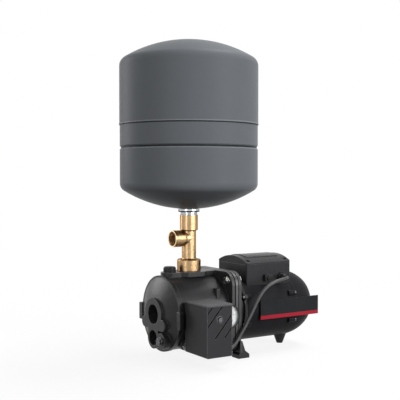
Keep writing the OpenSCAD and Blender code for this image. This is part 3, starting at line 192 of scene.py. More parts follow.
def buildBoxMask():
    # 1 inside an upright box
    tree, start, end = newTree("boxMask", "ShaderNodeTree", [
        ("Vector", "Vector", None), ("Low", "Vector", None), ("High", "Vector", None),
    ], [("Mask", "Float")])
    link = tree.links.new
    above = addNode(tree, "ShaderNodeVectorMath", operation="SUBTRACT")
    below = addNode(tree, "ShaderNodeVectorMath", operation="SUBTRACT")
    least = addNode(tree, "ShaderNodeVectorMath", operation="MINIMUM")
    axes = addNode(tree, "ShaderNodeSeparateXYZ")
    first = addNode(tree, "ShaderNodeMath", operation="MINIMUM")
    second = addNode(tree, "ShaderNodeMath", operation="MINIMUM")
    within = addNode(tree, "ShaderNodeMath", {1: 0.0}, operation="GREATER_THAN")
    link(start.outputs["Vector"], above.inputs[0])
    link(start.outputs["Low"], above.inputs[1])
    link(start.outputs["High"], below.inputs[0])
    link(start.outputs["Vector"], below.inputs[1])
    link(above.outputs[0], least.inputs[0])
    link(below.outputs[0], least.inputs[1])
    link(least.outputs[0], axes.inputs[0])
    link(axes.outputs["X"], first.inputs[0])
    link(axes.outputs["Y"], first.inputs[1])
    link(first.outputs[0], second.inputs[0])
    link(axes.outputs["Z"], second.inputs[1])
    link(second.outputs[0], within.inputs[0])
    link(within.outputs[0], end.inputs["Mask"])
    return tree


def buildLineMask():
    # 1 along a straight line in the XZ plane, but not on the round boss that it passes
    tree, start, end = newTree("lineMask", "ShaderNodeTree", [
        ("Vector", "Vector", None), ("Centre", "Vector", None), ("Across", "Vector", None),
        ("Offset", "Float", 0.0), ("Half", "Float", 0.001), ("Boss", "Float", 0.007),
    ], [("Mask", "Float")])
    link = tree.links.new
    away = addNode(tree, "ShaderNodeVectorMath", operation="SUBTRACT")
    across = addNode(tree, "ShaderNodeVectorMath", operation="DOT_PRODUCT")
    beside = addNode(tree, "ShaderNodeMath", operation="SUBTRACT")
    apart = addNode(tree, "ShaderNodeMath", operation="ABSOLUTE")
    near = addNode(tree, "ShaderNodeMath", operation="LESS_THAN")
    flat = addNode(tree, "ShaderNodeVectorMath", {1: (1, 0, 1)}, operation="MULTIPLY")
    reach = addNode(tree, "ShaderNodeVectorMath", operation="LENGTH")
    outside = addNode(tree, "ShaderNodeMath", operation="GREATER_THAN")
    both = addNode(tree, "ShaderNodeMath", operation="MULTIPLY")
    link(start.outputs["Vector"], away.inputs[0])
    link(start.outputs["Centre"], away.inputs[1])
    link(away.outputs[0], across.inputs[0])
    link(start.outputs["Across"], across.inputs[1])
    link(across.outputs["Value"], beside.inputs[0])
    link(start.outputs["Offset"], beside.inputs[1])
    link(beside.outputs[0], apart.inputs[0])
    link(apart.outputs[0], near.inputs[0])
    link(start.outputs["Half"], near.inputs[1])
    link(away.outputs[0], flat.inputs[0])
    link(flat.outputs[0], reach.inputs[0])
    link(reach.outputs["Value"], outside.inputs[0])
    link(start.outputs["Boss"], outside.inputs[1])
    link(near.outputs[0], both.inputs[0])
    link(outside.outputs[0], both.inputs[1])
    link(both.outputs[0], end.inputs["Mask"])
    return tree


def buildTurnedRings():
    # fine rings left by a lathe: round Z, and round X ahead of the plane given
    tree, start, end = newTree("turnedRings", "ShaderNodeTree", [
        ("Vector", "Vector", None), ("Rings", "Float", 900.0), ("Plane", "Float", -10.0),
    ], [("Height", "Float")])
    link = tree.links.new
    axes = addNode(tree, "ShaderNodeSeparateXYZ")
    ahead = addNode(tree, "ShaderNodeMath", operation="LESS_THAN")
    along = addNode(tree, "ShaderNodeMix", data_type="FLOAT")
    point = addNode(tree, "ShaderNodeCombineXYZ")
    wave = addNode(tree, "ShaderNodeTexWave", {"Distortion": 0.4, "Detail": 1.0},
                   wave_type="BANDS", bands_direction="Z")
    link(start.outputs["Vector"], axes.inputs[0])
    link(axes.outputs["X"], ahead.inputs[0])
    link(start.outputs["Plane"], ahead.inputs[1])
    link(ahead.outputs[0], along.inputs[0])
    link(axes.outputs["Z"], along.inputs[2])
    link(axes.outputs["X"], along.inputs[3])
    link(along.outputs[0], point.inputs[2])
    link(point.outputs[0], wave.inputs["Vector"])
    link(start.outputs["Rings"], wave.inputs["Scale"])
    link(wave.outputs["Fac"], end.inputs["Height"])
    return tree


mottleGroup = buildMottle()
castGrainGroup = buildCastGrain()
softEdgeGroup = buildSoftEdge()
boreShadeGroup = buildBoreShade()
boxMaskGroup = buildBoxMask()
lineMaskGroup = buildLineMask()
turnedRingsGroup = buildTurnedRings()


def placeGroup(tree, group, values, where=None):
    node = addNode(tree, "ShaderNodeGroup", values, node_tree=group)
    if where is not None:
        tree.links.new(where, node.inputs["Vector"])
    return node


def paintOver(tree, colour, mask, paint):
    # colour where the mask is 0, paint where it is 1
    over = addNode(tree, "ShaderNodeMix", {7: (*paint, 1)}, data_type="RGBA")
    tree.links.new(mask, over.inputs[0])
    tree.links.new(colour, over.inputs[6])
    return over.outputs[2]


# finishes
# light and dark are linear colours that the clouds mix, rough is the middle roughness and spread its width
# grain, wave and rings count per metre, depth and edge are metres
# left out, metal, pits and the edges' lightening (wear and painted highlight) are 0 and specular 0.5, with no
# tint, no soft edge and no lathe rings
finishes = {
    "castPaint": {"light": (0.026, 0.026, 0.028), "dark": (0.014, 0.014, 0.015),
                  "rough": 0.34, "spread": 0.12, "specular": 0.2,
                  "grain": 420, "wave": 40, "pits": 0.6, "depth": 0.00035, "edge": 0.0018, "edgeWearAndSheen": 0.5},
    "platePaint": {"light": (0.046, 0.046, 0.049), "dark": (0.030, 0.030, 0.032),
                   "rough": 0.32, "spread": 0.1, "specular": 0.5,
                   "grain": 900, "wave": 30, "pits": 0.2, "depth": 0.0001, "edge": 0.0009, "edgeWearAndSheen": 0.9},
    "motorPaint": {"light": (0.020, 0.020, 0.022), "dark": (0.013, 0.013, 0.0145),
                   "rough": 0.4, "spread": 0.08, "specular": 0.025,
                   "grain": 900, "wave": 24, "pits": 0.15, "depth": 0.0001, "edge": 0.0011, "edgeWearAndSheen": 0.5},
    "shieldPaint": {"light": (0.021, 0.021, 0.023), "dark": (0.013, 0.013, 0.0145),
                    "rough": 0.4, "spread": 0.1, "specular": 0.025,
                    "grain": 600, "wave": 30, "pits": 0.4, "depth": 0.00018, "edge": 0.0012, "edgeWearAndSheen": 0.5},
    "mouldedBlack": {"light": (0.015, 0.015, 0.016), "dark": (0.010, 0.010, 0.011),
                     "rough": 0.38, "spread": 0.08, "specular": 0.2,
                     "grain": 2000, "wave": 20, "pits": 0.5, "depth": 0.00006,
                     "edge": 0.0009, "edgeWearAndSheen": 0.5},
    "boxPlastic": {"light": (0.029, 0.029, 0.0315), "dark": (0.022, 0.022, 0.024),
                   "rough": 0.28, "spread": 0.08, "specular": 0.1,
                   "grain": 1700, "wave": 16, "pits": 0.4, "depth": 0.00006, "edge": 0.0014, "edgeWearAndSheen": 0.5},
    "switchPlastic": {"light": (0.040, 0.040, 0.0425), "dark": (0.032, 0.032, 0.034),
                      "rough": 0.46, "spread": 0.08, "specular": 0.07,
                      "grain": 1500, "wave": 25, "pits": 0.6, "depth": 0.00012,
                      "edge": 0.0026, "edgeWearAndSheen": 1.3},
    "rubber": {"light": (0.014, 0.014, 0.014), "dark": (0.008, 0.008, 0.008),
               "rough": 0.6, "spread": 0.1, "specular": 0.25,
               "grain": 1500, "wave": 60, "pits": 0.3, "depth": 0.00006, "edge": 0.0008, "edgeWearAndSheen": 0.1},
    "cableSheath": {"light": (0.045, 0.045, 0.047), "dark": (0.034, 0.034, 0.036),
                    "rough": 0.44, "spread": 0.08, "specular": 0.4,
                    "grain": 1200, "wave": 90, "pits": 0.1, "depth": 0.00004},
    "zinc": {"light": (0.74, 0.74, 0.72), "dark": (0.46, 0.47, 0.48), "tint": (0.55, 0.56, 0.58),
             "rough": 0.26, "spread": 0.14, "metal": 1.0,
             "grain": 900, "wave": 120, "pits": 0.2, "depth": 0.00005, "edge": 0.0005},
    "dullZinc": {"light": (0.22, 0.22, 0.225), "dark": (0.12, 0.12, 0.125),
                 "rough": 0.4, "spread": 0.14, "metal": 1.0,
                 "grain": 900, "wave": 120, "pits": 0.3, "depth": 0.00006, "edge": 0.0005, "edgeWearAndSheen": 0.1},
    "darkSteel": {"light": (0.11, 0.11, 0.115), "dark": (0.06, 0.06, 0.063),
                  "rough": 0.34, "spread": 0.12, "metal": 1.0,
                  "grain": 900, "wave": 140, "pits": 0.3, "depth": 0.00006, "edge": 0.0006, "edgeWearAndSheen": 0.6},
    "groundSteel": {"light": (0.66, 0.66, 0.68), "dark": (0.52, 0.52, 0.54),
                    "rough": 0.2, "spread": 0.08, "metal": 1.0,
                    "grain": 1800, "wave": 90, "depth": 0.00002, "edge": 0.0004},
    "sheetSteel": {"light": (0.36, 0.36, 0.37), "dark": (0.24, 0.24, 0.25),
                   "rough": 0.42, "spread": 0.1, "metal": 1.0,
                   "grain": 1500, "wave": 60, "pits": 0.1, "depth": 0.00005, "edge": 0.0004},
    "copper": {"light": (0.72, 0.30, 0.13), "dark": (0.44, 0.15, 0.06),
               "rough": 0.35, "spread": 0.1, "metal": 1.0,
               "grain": 1300, "wave": 200, "pits": 0.6, "depth": 0.0002},
    "wheelPlastic": {"light": (0.62, 0.60, 0.52), "dark": (0.52, 0.50, 0.42),
                     "rough": 0.38, "spread": 0.06,
                     "grain": 1400, "wave": 30, "pits": 0.2, "depth": 0.00005, "edge": 0.0005},
    "whitePlastic": {"light": (0.80, 0.80, 0.78), "dark": (0.72, 0.72, 0.69),
                     "rough": 0.34, "spread": 0.05,
                     "grain": 1400, "wave": 30, "pits": 0.1, "depth": 0.00003, "edge": 0.0005},
    "carbon": {"light": (0.05, 0.05, 0.05), "dark": (0.03, 0.03, 0.03),
               "rough": 0.32, "spread": 0.08,
               "grain": 1600, "wave": 40, "pits": 0.1, "depth": 0.00002, "edge": 0.0003, "edgeWearAndSheen": 0.2},
    "brass": {"light": (0.50, 0.345, 0.188), "dark": (0.34, 0.218, 0.112), "tint": (0.42, 0.27, 0.16),
              "rough": 0.25, "spread": 0.06, "metal": 1.0,
              "grain": 520, "wave": 48, "pits": 0.4, "depth": 0.00012, "edge": 0.0009, "edgeWearAndSheen": 0.1,
              "rings": 1300, "ringPlane": -0.0945},
    "tankEnamel": {"light": (0.137, 0.146, 0.158), "dark": (0.127, 0.136, 0.147),
                   "rough": 0.36, "spread": 0.05, "specular": 0.02,
                   "grain": 380, "wave": 12, "depth": 0.00006, "edge": 0.0011, "edgeWearAndSheen": 0.15},
    "tankFitting": {"light": (0.66, 0.67, 0.68), "dark": (0.36, 0.37, 0.38), "tint": (0.4, 0.41, 0.43),
                    "rough": 0.15, "spread": 0.12, "metal": 1.0,
                    "grain": 900, "wave": 110, "pits": 0.2, "depth": 0.00005, "edge": 0.0006},
    "dialWhite": {"light": (0.95, 0.95, 0.95), "dark": (0.92, 0.92, 0.92),
                  "rough": 0.4, "spread": 0.04,
                  "grain": 1500, "wave": 30, "depth": 0.00002},
    "printBlack": {"light": (0.02, 0.02, 0.02), "dark": (0.015, 0.015, 0.015),
                   "rough": 0.5, "spread": 0.05,
                   "grain": 2500, "wave": 50, "depth": 0.00001},
}

# painted shade: the castings' ports are painted near black inside; painted light: the tee's branch bore is
# painted a paler brass inside
boreLightAndShade = {
    "castPaint": [{"mask": {"Centre": (-0.159, 0, 0.09), "Radius": 0.0202, "Behind": 1.0},
                   "colour": (0.004, 0.004, 0.004)},
                  {"mask": {"Centre": (-0.159, 0, 0.0434), "Radius": 0.0158, "Behind": 1.0},
                   "colour": (0.004, 0.004, 0.004)}],
    "brass": [{"mask": {"Centre": (-0.115, 0, 0.237), "Radius": 0.01455, "Behind": -0.0906},
               "colour": (0.75, 0.60, 0.46)}],
}

# painted shade, near black, in and beside the slanted grooves of the switch's front, but not on the screw's
# boss between them
paintedShade = (0.003, 0.003, 0.003)
grooves = {"boss": (-0.102, 0, 0.0956), "bossRadius": 7, "slant": 49, "offsets": (28, 12, -15, -31),
           "half": 1.45, "low": (-0.1282, -0.153, 0.0612), "high": (-0.0758, -0.1505, 0.1202)}
slant = math.radians(grooves["slant"])
grooveShadeLines = [{"low": grooves["low"], "high": grooves["high"], "colour": paintedShade, "line": {
    "Centre": grooves["boss"], "Across": (-math.sin(slant), 0, math.cos(slant)), "Offset": offset * mm,
    "Half": grooves["half"] * mm, "Boss": grooves["bossRadius"] * mm}} for offset in grooves["offsets"]]

# boxes in which a finish changes its colour
# the castings: painted highlights on the flanges' rims, and a painted reflection on the ridge's machined top
# the tee: a painted highlight on the branch's machined end, and painted shadow on the step under its top
# collar
# the tank: painted shadow under its seam's lip and in its groove, beside painted highlights on their edges
# the tank's fitting: a near-black band low on its flange's edge
# the switch: a painted highlight on the lip along its top, the painted shade of the grooves, and painted
# shade in the screw's recess
patches = {"castPaint": [
    # painted highlights on the rims of both flanges
    {"low": (-0.0252, -0.09, 0.012), "high": (-0.0192, 0.09, 0.2), "colour": (0.052, 0.052, 0.054)},
    {"low": (-0.0092, -0.09, 0.012), "high": (-0.0033, 0.09, 0.2), "colour": (0.052, 0.052, 0.054)},
    # painted reflection on the ridge's machined top
    {"low": (-0.17, -0.04, 0.1707), "high": (-0.0256, 0.04, 0.1712), "colour": (0.11, 0.11, 0.112)},
], "brass": [
    # painted highlight on the branch's machined end
    {"low": (-0.1156, -0.02, 0.218), "high": (-0.1149, 0.02, 0.256), "colour": (0.86, 0.70, 0.46)},
    # painted shadow on the step under the top collar
    {"low": (-0.0935, -0.02, 0.2515), "high": (-0.058, 0.02, 0.2537), "colour": (0.07, 0.04, 0.02)},
], "tankEnamel": [
    # painted shadow under the seam's lip, and a painted highlight on the lip
    {"low": (-0.23, -0.15, 0.4624), "high": (0.08, 0.15, 0.4644), "colour": (0.030, 0.032, 0.035)},
    {"low": (-0.23, -0.15, 0.4650), "high": (0.08, 0.15, 0.4668), "colour": (0.205, 0.217, 0.232)},
    # painted shadow in the groove, and a painted highlight along its lower edge
    {"low": (-0.23, -0.15, 0.4176), "high": (0.08, 0.15, 0.4206), "colour": (0.024, 0.026, 0.029)},
    {"low": (-0.23, -0.15, 0.4152), "high": (0.08, 0.15, 0.4166), "colour": (0.215, 0.227, 0.243)},
], "tankFitting": [
    {"low": (-0.1, -0.025, 0.2897), "high": (-0.05, 0.025, 0.2927), "colour": (0.015, 0.015, 0.017)},
], "switchPlastic": [
    # painted highlight on the lip along the top
    {"low": (-0.133, -0.155, 0.1208), "high": (-0.072, -0.074, 0.126), "colour": (0.12, 0.12, 0.125)},
    # painted shade along the grooves
    *grooveShadeLines,
    # painted shade in the screw's recess
    {"low": (-0.1075, -0.1519, 0.0901), "high": (-0.0965, -0.1505, 0.1011), "colour": paintedShade},
]}

# how strongly each finish shows its clouds, relief, lathe rings and edges painted lighter, as wear and as
# painted highlight
skin = {"contrast": 2.2, "relief": 0.6, "rings": 0.35, "wearAndSheenGain": 5.0, "lift": 3}


def makeFinish(name, look):
    material = bpy.data.materials.new(name)
    material.use_nodes = True
    tree = material.node_tree
    link = tree.links.new
    shader = tree.nodes["Principled BSDF"]
    shader.inputs["Metallic"].default_value = look.get("metal", 0.0)
    shader.inputs["Specular IOR Level"].default_value = look.get("specular", 0.5)
    if "tint" in look:
        shader.inputs["Specular Tint"].default_value = (*look["tint"], 1)
    where = addNode(tree, "ShaderNodeTexCoord").outputs["Object"]
    mottle = placeGroup(tree, mottleGroup, {"Size": look["wave"], "Contrast": skin["contrast"]}, where)
    grain = placeGroup(tree, castGrainGroup, {
        "Grain": look["grain"], "Wave": look["wave"], "Pits": look.get("pits", 0.0)}, where)
    tone = addNode(tree, "ShaderNodeMix", {6: (*look["dark"], 1), 7: (*look["light"], 1)}, data_type="RGBA")
    half = look["spread"] / 2
    gloss = addNode(tree, "ShaderNodeMapRange", {3: look["rough"] - half, 4: look["rough"] + half})
    bump = addNode(tree, "ShaderNodeBump", {"Strength": skin["relief"], "Distance": look["depth"]})
    link(mottle.outputs["Mask"], tone.inputs[0])
    link(mottle.outputs["Mask"], gloss.inputs[0])
    link(gloss.outputs[0], shader.inputs["Roughness"])
    height = grain.outputs["Height"]
    if "rings" in look:
        turned = {"Rings": look["rings"], "Plane": look["ringPlane"]}
        rings = placeGroup(tree, turnedRingsGroup, turned, where)
        lines = addNode(tree, "ShaderNodeMath", {1: skin["rings"]}, operation="MULTIPLY")
        both = addNode(tree, "ShaderNodeMath", operation="ADD")
        link(rings.outputs["Height"], lines.inputs[0])
        link(lines.outputs[0], both.inputs[0])
        link(height, both.inputs[1])
        height = both.outputs[0]
    link(height, bump.inputs["Height"])
    colour = tone.outputs[2]
    # painted shade inside the castings' ports, painted light inside the tee's branch bore
    for bore in boreLightAndShade.get(name, []):
        inside = placeGroup(tree, boreShadeGroup, bore["mask"], where)
        colour = paintOver(tree, colour, inside.outputs["Mask"], bore["colour"])
    if "edge" in look:
        edge = placeGroup(tree, softEdgeGroup, {"Radius": look["edge"], "WearAndSheen": skin["wearAndSheenGain"]})
        link(edge.outputs["Normal"], bump.inputs["Normal"])
        # the edges are painted lighter, partly as wear and partly as painted highlight
        lift = 1 + skin["lift"] * look.get("edgeWearAndSheen", 0.0)
        wornAndSheenEdge = [min(1, part * lift) for part in look["light"]]
        colour = paintOver(tree, colour, edge.outputs["Edge"], wornAndSheenEdge)
    for patch in patches.get(name, []):
        inside = placeGroup(tree, boxMaskGroup, {"Low": patch["low"], "High": patch["high"]}, where)
        mask = inside.outputs["Mask"]
        if "line" in patch:
            along = placeGroup(tree, lineMaskGroup, patch["line"], where)
            both = addNode(tree, "ShaderNodeMath", operation="MULTIPLY")
            link(mask, both.inputs[0])
            link(along.outputs["Mask"], both.inputs[1])
            mask = both.outputs[0]
        colour = paintOver(tree, colour, mask, patch["colour"])
    link(colour, shader.inputs["Base Color"])
    link(bump.outputs[0], shader.inputs["Normal"])
    return material


materials = {name: makeFinish(name, look) for name, look in finishes.items()}

# the name band is the motor's paint made glossier, with a red stripe below the height stripeTop
band = {"red": (0.36, 0.022, 0.038), "stripeTop": 0.0782,
        "look": {"light": (0.026, 0.027, 0.030), "dark": (0.017, 0.018, 0.020), "rough": 0.16, "spread": 0.04,
                 "specular": 0.05, "depth": 0.00002, "edge": 0.0005}}


def makeBandFinish():
    material = makeFinish("bandGloss", {**finishes["motorPaint"], **band["look"]})
    tree = material.node_tree
    shader = tree.nodes["Principled BSDF"]
    black = shader.inputs["Base Color"].links[0].from_socket
    place = addNode(tree, "ShaderNodeTexCoord")
    axes = addNode(tree, "ShaderNodeSeparateXYZ")
    below = addNode(tree, "ShaderNodeMath", {1: band["stripeTop"]}, operation="LESS_THAN")
    tree.links.new(place.outputs["Object"], axes.inputs[0])
    tree.links.new(axes.outputs["Z"], below.inputs[0])
    tree.links.new(paintOver(tree, black, below.outputs[0], band["red"]), shader.inputs["Base Color"])
    return material


# the gauge's pane is nearly clear, with a faint smear in its gloss
glass = {"tint": (0.9, 0.93, 0.94), "alpha": 0.12, "ior": 1.5, "smear": 60.0, "contrast": 2.0,
         "smooth": 0.03, "smeared": 0.1}


def makeGlass():
    material = bpy.data.materials.new("clearGlass")
    material.use_nodes = True
    tree = material.node_tree
    shader = tree.nodes["Principled BSDF"]
    shader.inputs["Base Color"].default_value = (*glass["tint"], 1)
    shader.inputs["Alpha"].default_value = glass["alpha"]
    shader.inputs["IOR"].default_value = glass["ior"]
    where = addNode(tree, "ShaderNodeTexCoord").outputs["Object"]
    smear = placeGroup(tree, mottleGroup, {"Size": glass["smear"], "Contrast": glass["contrast"]}, where)
    gloss = addNode(tree, "ShaderNodeMapRange", {3: glass["smooth"], 4: glass["smeared"]})
    tree.links.new(smear.outputs["Mask"], gloss.inputs[0])
    tree.links.new(gloss.outputs[0], shader.inputs["Roughness"])
    return material


materials["bandGloss"] = makeBandFinish()
materials["clearGlass"] = makeGlass()

nodeFinishes = {
    "castPaint": ["pump_housing", "motor_bracket"],
    "platePaint": ["seal_plate"],
    "motorPaint": ["motor_frame", "fan_cover"],
    "shieldPaint": ["end_shield"],
    "boxPlastic": ["terminal_box", "terminal_cover"],
    "mouldedBlack": ["filler_plug", "cable_gland", "spare_gland", "cooling_fan", "valve_cap",
                     "contact_block", "switch_gland", "gauge_case"],
    "switchPlastic": ["switch_cover"],
    "rubber": ["housing_gasket", "filler_seal", "motor_foot", "tank_diaphragm", "switch_membrane"],
    "cableSheath": ["switch_cable"],
    "zinc": ["flange_bolts", "flange_nuts"],
    "dullZinc": ["terminal_screws", "switch_nipple", "switch_base"],
    "darkSteel": ["drain_plug", "cover_screw", "motor_screws"],
    "groundSteel": ["shaft", "bearing_outers", "bearing_inners", "bearing_balls", "valve_pin",
                    "pressure_plunger", "switch_lever", "range_spring"],
    "sheetSteel": ["stator_core", "rotor_core"],
    "copper": ["windings"],
    "wheelPlastic": ["diffuser", "impeller"],
    "whitePlastic": ["seal_seat", "terminal_block", "capacitor"],
    "carbon": ["seal_head", "gauge_needle"],
    "brass": ["outlet_tee", "impeller_nut", "air_valve"],
    "tankEnamel": ["tank_lower_shell", "tank_upper_shell"],
    "tankFitting": ["tank_connection", "clinch_ring"],
    "bandGloss": ["name_band"],
    "dialWhite": ["gauge_dial"],
    "clearGlass": ["gauge_lens"],
}
for finish, names in nodeFinishes.items():
    for name in names:
        for slot in nodes[name].material_slots:
            slot.material = materials[finish]
print("finishes set on", sum(len(names) for names in nodeFinishes.values()), "nodes")


# switch cable, in millimetres from the gland of the terminal box to that of the switch
cable = {"radius": 3.5, "sides": 20, "steps": 8, "route": [
    (118, -66, 152), (118, -71, 152), (115, -77, 152), (108, -82, 152), (98, -85, 151), (86, -87, 149.5),
    (72, -88, 146), (58, -88, 140), (46, -88, 131), (37, -88, 121), (29, -88, 109), (22, -88, 97),
    (14, -88, 84), (5, -88, 71), (-3, -88, 59), (-11, -88, 48), (-19, -89, 38), (-28, -91, 30),
    (-38, -95, 25.5), (-46, -99.5, 26), (-52, -102.7, 30), (-56.5, -104.5, 34), (-60, -105, 36),
    (-66, -105, 36)]}


def smoothPath(points, steps):
    # a smooth curve through all the points
    points = [Vector(p) * mm for p in points]
    ends = [2 * points[0] - points[1], *points, 2 * points[-1] - points[-2]]
    path = []
    for i in range(len(points) - 1):
        a, b, c, d = ends[i:i + 4]
        bend = 2 * a - 5 * b + 4 * c - d
        twist = 3 * b - a - 3 * c + d
        for k in range(steps):
            t = k / steps
            path.append(0.5 * (2 * b + (c - a) * t + bend * t * t + twist * t ** 3))
    return path + [points[-1]]


def tubeAlong(name, path, radius, sides):
    mesh = bmesh.new()
    rings = []
    side = Vector((0, 0, 1))
    for i, point in enumerate(path):
        ahead = (path[min(i + 1, len(path) - 1)] - path[max(i - 1, 0)]).normalized()
        side = (side - side.dot(ahead) * ahead).normalized()
        across = ahead.cross(side)
        rings.append([mesh.verts.new(point + radius * (math.cos(a) * side + math.sin(a) * across))
                      for a in (2 * math.pi * k / sides for k in range(sides))])
    for low, high in zip(rings, rings[1:]):
        for k in range(sides):
            mesh.faces.new((low[k], low[(k + 1) % sides], high[(k + 1) % sides], high[k]))
    mesh.faces.new(reversed(rings[0]))
    mesh.faces.new(rings[-1])
    bmesh.ops.recalc_face_normals(mesh, faces=mesh.faces)
    data = bpy.data.meshes.new(name)
    mesh.to_mesh(data)
    mesh.free()
    for face in data.polygons:
        face.use_smooth = len(face.vertices) == 4  # the two end faces stay flat
    return addObject(name, data)


cablePath = smoothPath(cable["route"], cable["steps"])
switchCable = tubeAlong("switchCable", cablePath, cable["radius"] * mm, cable["sides"])
switchCable.data.materials.append(materials["cableSheath"])
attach(switchCable, "pump")
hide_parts("switch_cable")


# geometry node trees
def endTree(tree, start, end, geometry):
    solid = addNode(tree, "GeometryNodeRealizeInstances")
    painted = addNode(tree, "GeometryNodeSetMaterial")
    tree.links.new(geometry, solid.inputs[0])
    tree.links.new(solid.outputs[0], painted.inputs["Geometry"])
    tree.links.new(start.outputs["Material"], painted.inputs["Material"])
    tree.links.new(painted.outputs[0], end.inputs[0])


def buildThreadTree():
    # a helical ridge: a spiral with a small three-sided section
    tree, start, end = newTree("threadRidge", "GeometryNodeTree", [
        ("Radius", "Float", 0.0166), ("Pitch", "Float", 0.0023), ("Turns", "Float", 7.0),
        ("Ridge", "Float", 0.0009), ("Material", "Material", None),
    ], [("Geometry", "Geometry")])
    link = tree.links.new
    spiral = addNode(tree, "GeometryNodeCurveSpiral", {"Resolution": 64})
    height = addNode(tree, "ShaderNodeMath", operation="MULTIPLY")
    section = addNode(tree, "GeometryNodeCurvePrimitiveCircle", {"Resolution": 3})
    upright = addNode(tree, "GeometryNodeSetCurveNormal", mode="Z_UP")
    sweep = addNode(tree, "GeometryNodeCurveToMesh", {"Fill Caps": True})
    link(start.outputs["Radius"], spiral.inputs["Start Radius"])
    link(start.outputs["Radius"], spiral.inputs["End Radius"])
    link(start.outputs["Turns"], spiral.inputs["Rotations"])
    link(start.outputs["Pitch"], height.inputs[0])
    link(start.outputs["Turns"], height.inputs[1])
    link(height.outputs[0], spiral.inputs["Height"])
    link(start.outputs["Ridge"], section.inputs["Radius"])
    link(spiral.outputs[0], upright.inputs[0])
    link(upright.outputs[0], sweep.inputs["Curve"])
    link(section.outputs[0], sweep.inputs["Profile Curve"])
    endTree(tree, start, end, sweep.outputs[0])
    return tree


def buildRibRingTree():
    # upright grip ribs round a cap: short rounded bars on a circle
    tree, start, end = newTree("ribRing", "GeometryNodeTree", [
        ("Count", "Int", 24), ("Radius", "Float", 0.012), ("Rib", "Float", 0.0006),
        ("Height", "Float", 0.006), ("Material", "Material", None),
    ], [("Geometry", "Geometry")])
    link = tree.links.new
    circle = addNode(tree, "GeometryNodeMeshCircle", fill_type="NONE")
    bar = addNode(tree, "GeometryNodeMeshCylinder", {"Vertices": 8}, fill_type="NGON")
    put = addNode(tree, "GeometryNodeInstanceOnPoints")
    link(start.outputs["Count"], circle.inputs["Vertices"])
    link(start.outputs["Radius"], circle.inputs["Radius"])
    link(start.outputs["Rib"], bar.inputs["Radius"])
    link(start.outputs["Height"], bar.inputs["Depth"])
    link(circle.outputs[0], put.inputs["Points"])
    link(bar.outputs["Mesh"], put.inputs["Instance"])
    endTree(tree, start, end, put.outputs[0])
    return tree


def buildScaleTree():
    # dial marks: bars on an arc from the angle Start, run through by Sweep
    tree, start, end = newTree("dialScale", "GeometryNodeTree", [
        ("Marks", "Int", 51), ("Radius", "Float", 0.02), ("Start", "Float", 0.0), ("Sweep", "Float", 1.0),
        ("Length", "Float", 0.002), ("Width", "Float", 0.0003), ("Thickness", "Float", 0.0001),
        ("Material", "Material", None),
    ], [("Geometry", "Geometry")])
    link = tree.links.new
    line = addNode(tree, "GeometryNodeMeshLine", {"Offset": (0, 0, 0)}, mode="OFFSET")
    index = addNode(tree, "GeometryNodeInputIndex")
    last = addNode(tree, "ShaderNodeMath", {1: 1.0}, operation="SUBTRACT")
    share = addNode(tree, "ShaderNodeMath", operation="DIVIDE")
    turn = addNode(tree, "ShaderNodeMath", operation="MULTIPLY_ADD")
    cosine = addNode(tree, "ShaderNodeMath", operation="COSINE")
    sine = addNode(tree, "ShaderNodeMath", operation="SINE")
    along = addNode(tree, "ShaderNodeCombineXYZ")
    far = addNode(tree, "ShaderNodeVectorMath", operation="SCALE")
    moved = addNode(tree, "GeometryNodeSetPosition")
    bar = addNode(tree, "GeometryNodeMeshCube")
    size = addNode(tree, "ShaderNodeCombineXYZ")
    facing = addNode(tree, "ShaderNodeCombineXYZ")
    put = addNode(tree, "GeometryNodeInstanceOnPoints")
    link(start.outputs["Marks"], line.inputs["Count"])
    link(start.outputs["Marks"], last.inputs[0])
    link(index.outputs[0], share.inputs[0])
    link(last.outputs[0], share.inputs[1])
    link(share.outputs[0], turn.inputs[0])
    link(start.outputs["Sweep"], turn.inputs[1])
    link(start.outputs["Start"], turn.inputs[2])
    link(turn.outputs[0], cosine.inputs[0])
    link(turn.outputs[0], sine.inputs[0])
    link(cosine.outputs[0], along.inputs[0])
    link(sine.outputs[0], along.inputs[1])
    link(along.outputs[0], far.inputs[0])
    link(start.outputs["Radius"], far.inputs["Scale"])
    link(line.outputs[0], moved.inputs["Geometry"])
    link(far.outputs[0], moved.inputs["Position"])
    link(start.outputs["Length"], size.inputs[0])
    link(start.outputs["Width"], size.inputs[1])
    link(start.outputs["Thickness"], size.inputs[2])
    link(size.outputs[0], bar.inputs["Size"])
    link(turn.outputs[0], facing.inputs[2])
    link(moved.outputs[0], put.inputs["Points"])
    link(bar.outputs["Mesh"], put.inputs["Instance"])
    link(facing.outputs[0], put.inputs["Rotation"])
    endTree(tree, start, end, put.outputs[0])
    return tree


threadTree = buildThreadTree()
ribRingTree = buildRibRingTree()
scaleTree = buildScaleTree()


def growPiece(name, tree, values, place, material, body):
    seed = addObject(name + "Seed", bpy.data.meshes.new(name + "Seed"))
    modifier = seed.modifiers.new("tree", "NODES")
    modifier.node_group = tree
    for item in tree.interface.items_tree:
        if item.item_type == "SOCKET" and item.in_out == "INPUT":
            modifier[item.identifier] = material if item.name == "Material" else values[item.name]
    grown = seed.evaluated_get(bpy.context.evaluated_depsgraph_get())
    data = bpy.data.meshes.new_from_object(grown)
    seed.modifiers.remove(modifier)
    bpy.data.objects.remove(seed)
    data.transform(place)
    data.name = name
    for face in data.polygons:
        face.use_smooth = False
    piece = addObject(name, data)
    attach(piece, body)


def placed(x, y, z, turn):
    turned = Euler([math.radians(a) for a in turn]).to_matrix().to_4x4()
    return Matrix.Translation(Vector((x, y, z)) * mm) @ turned


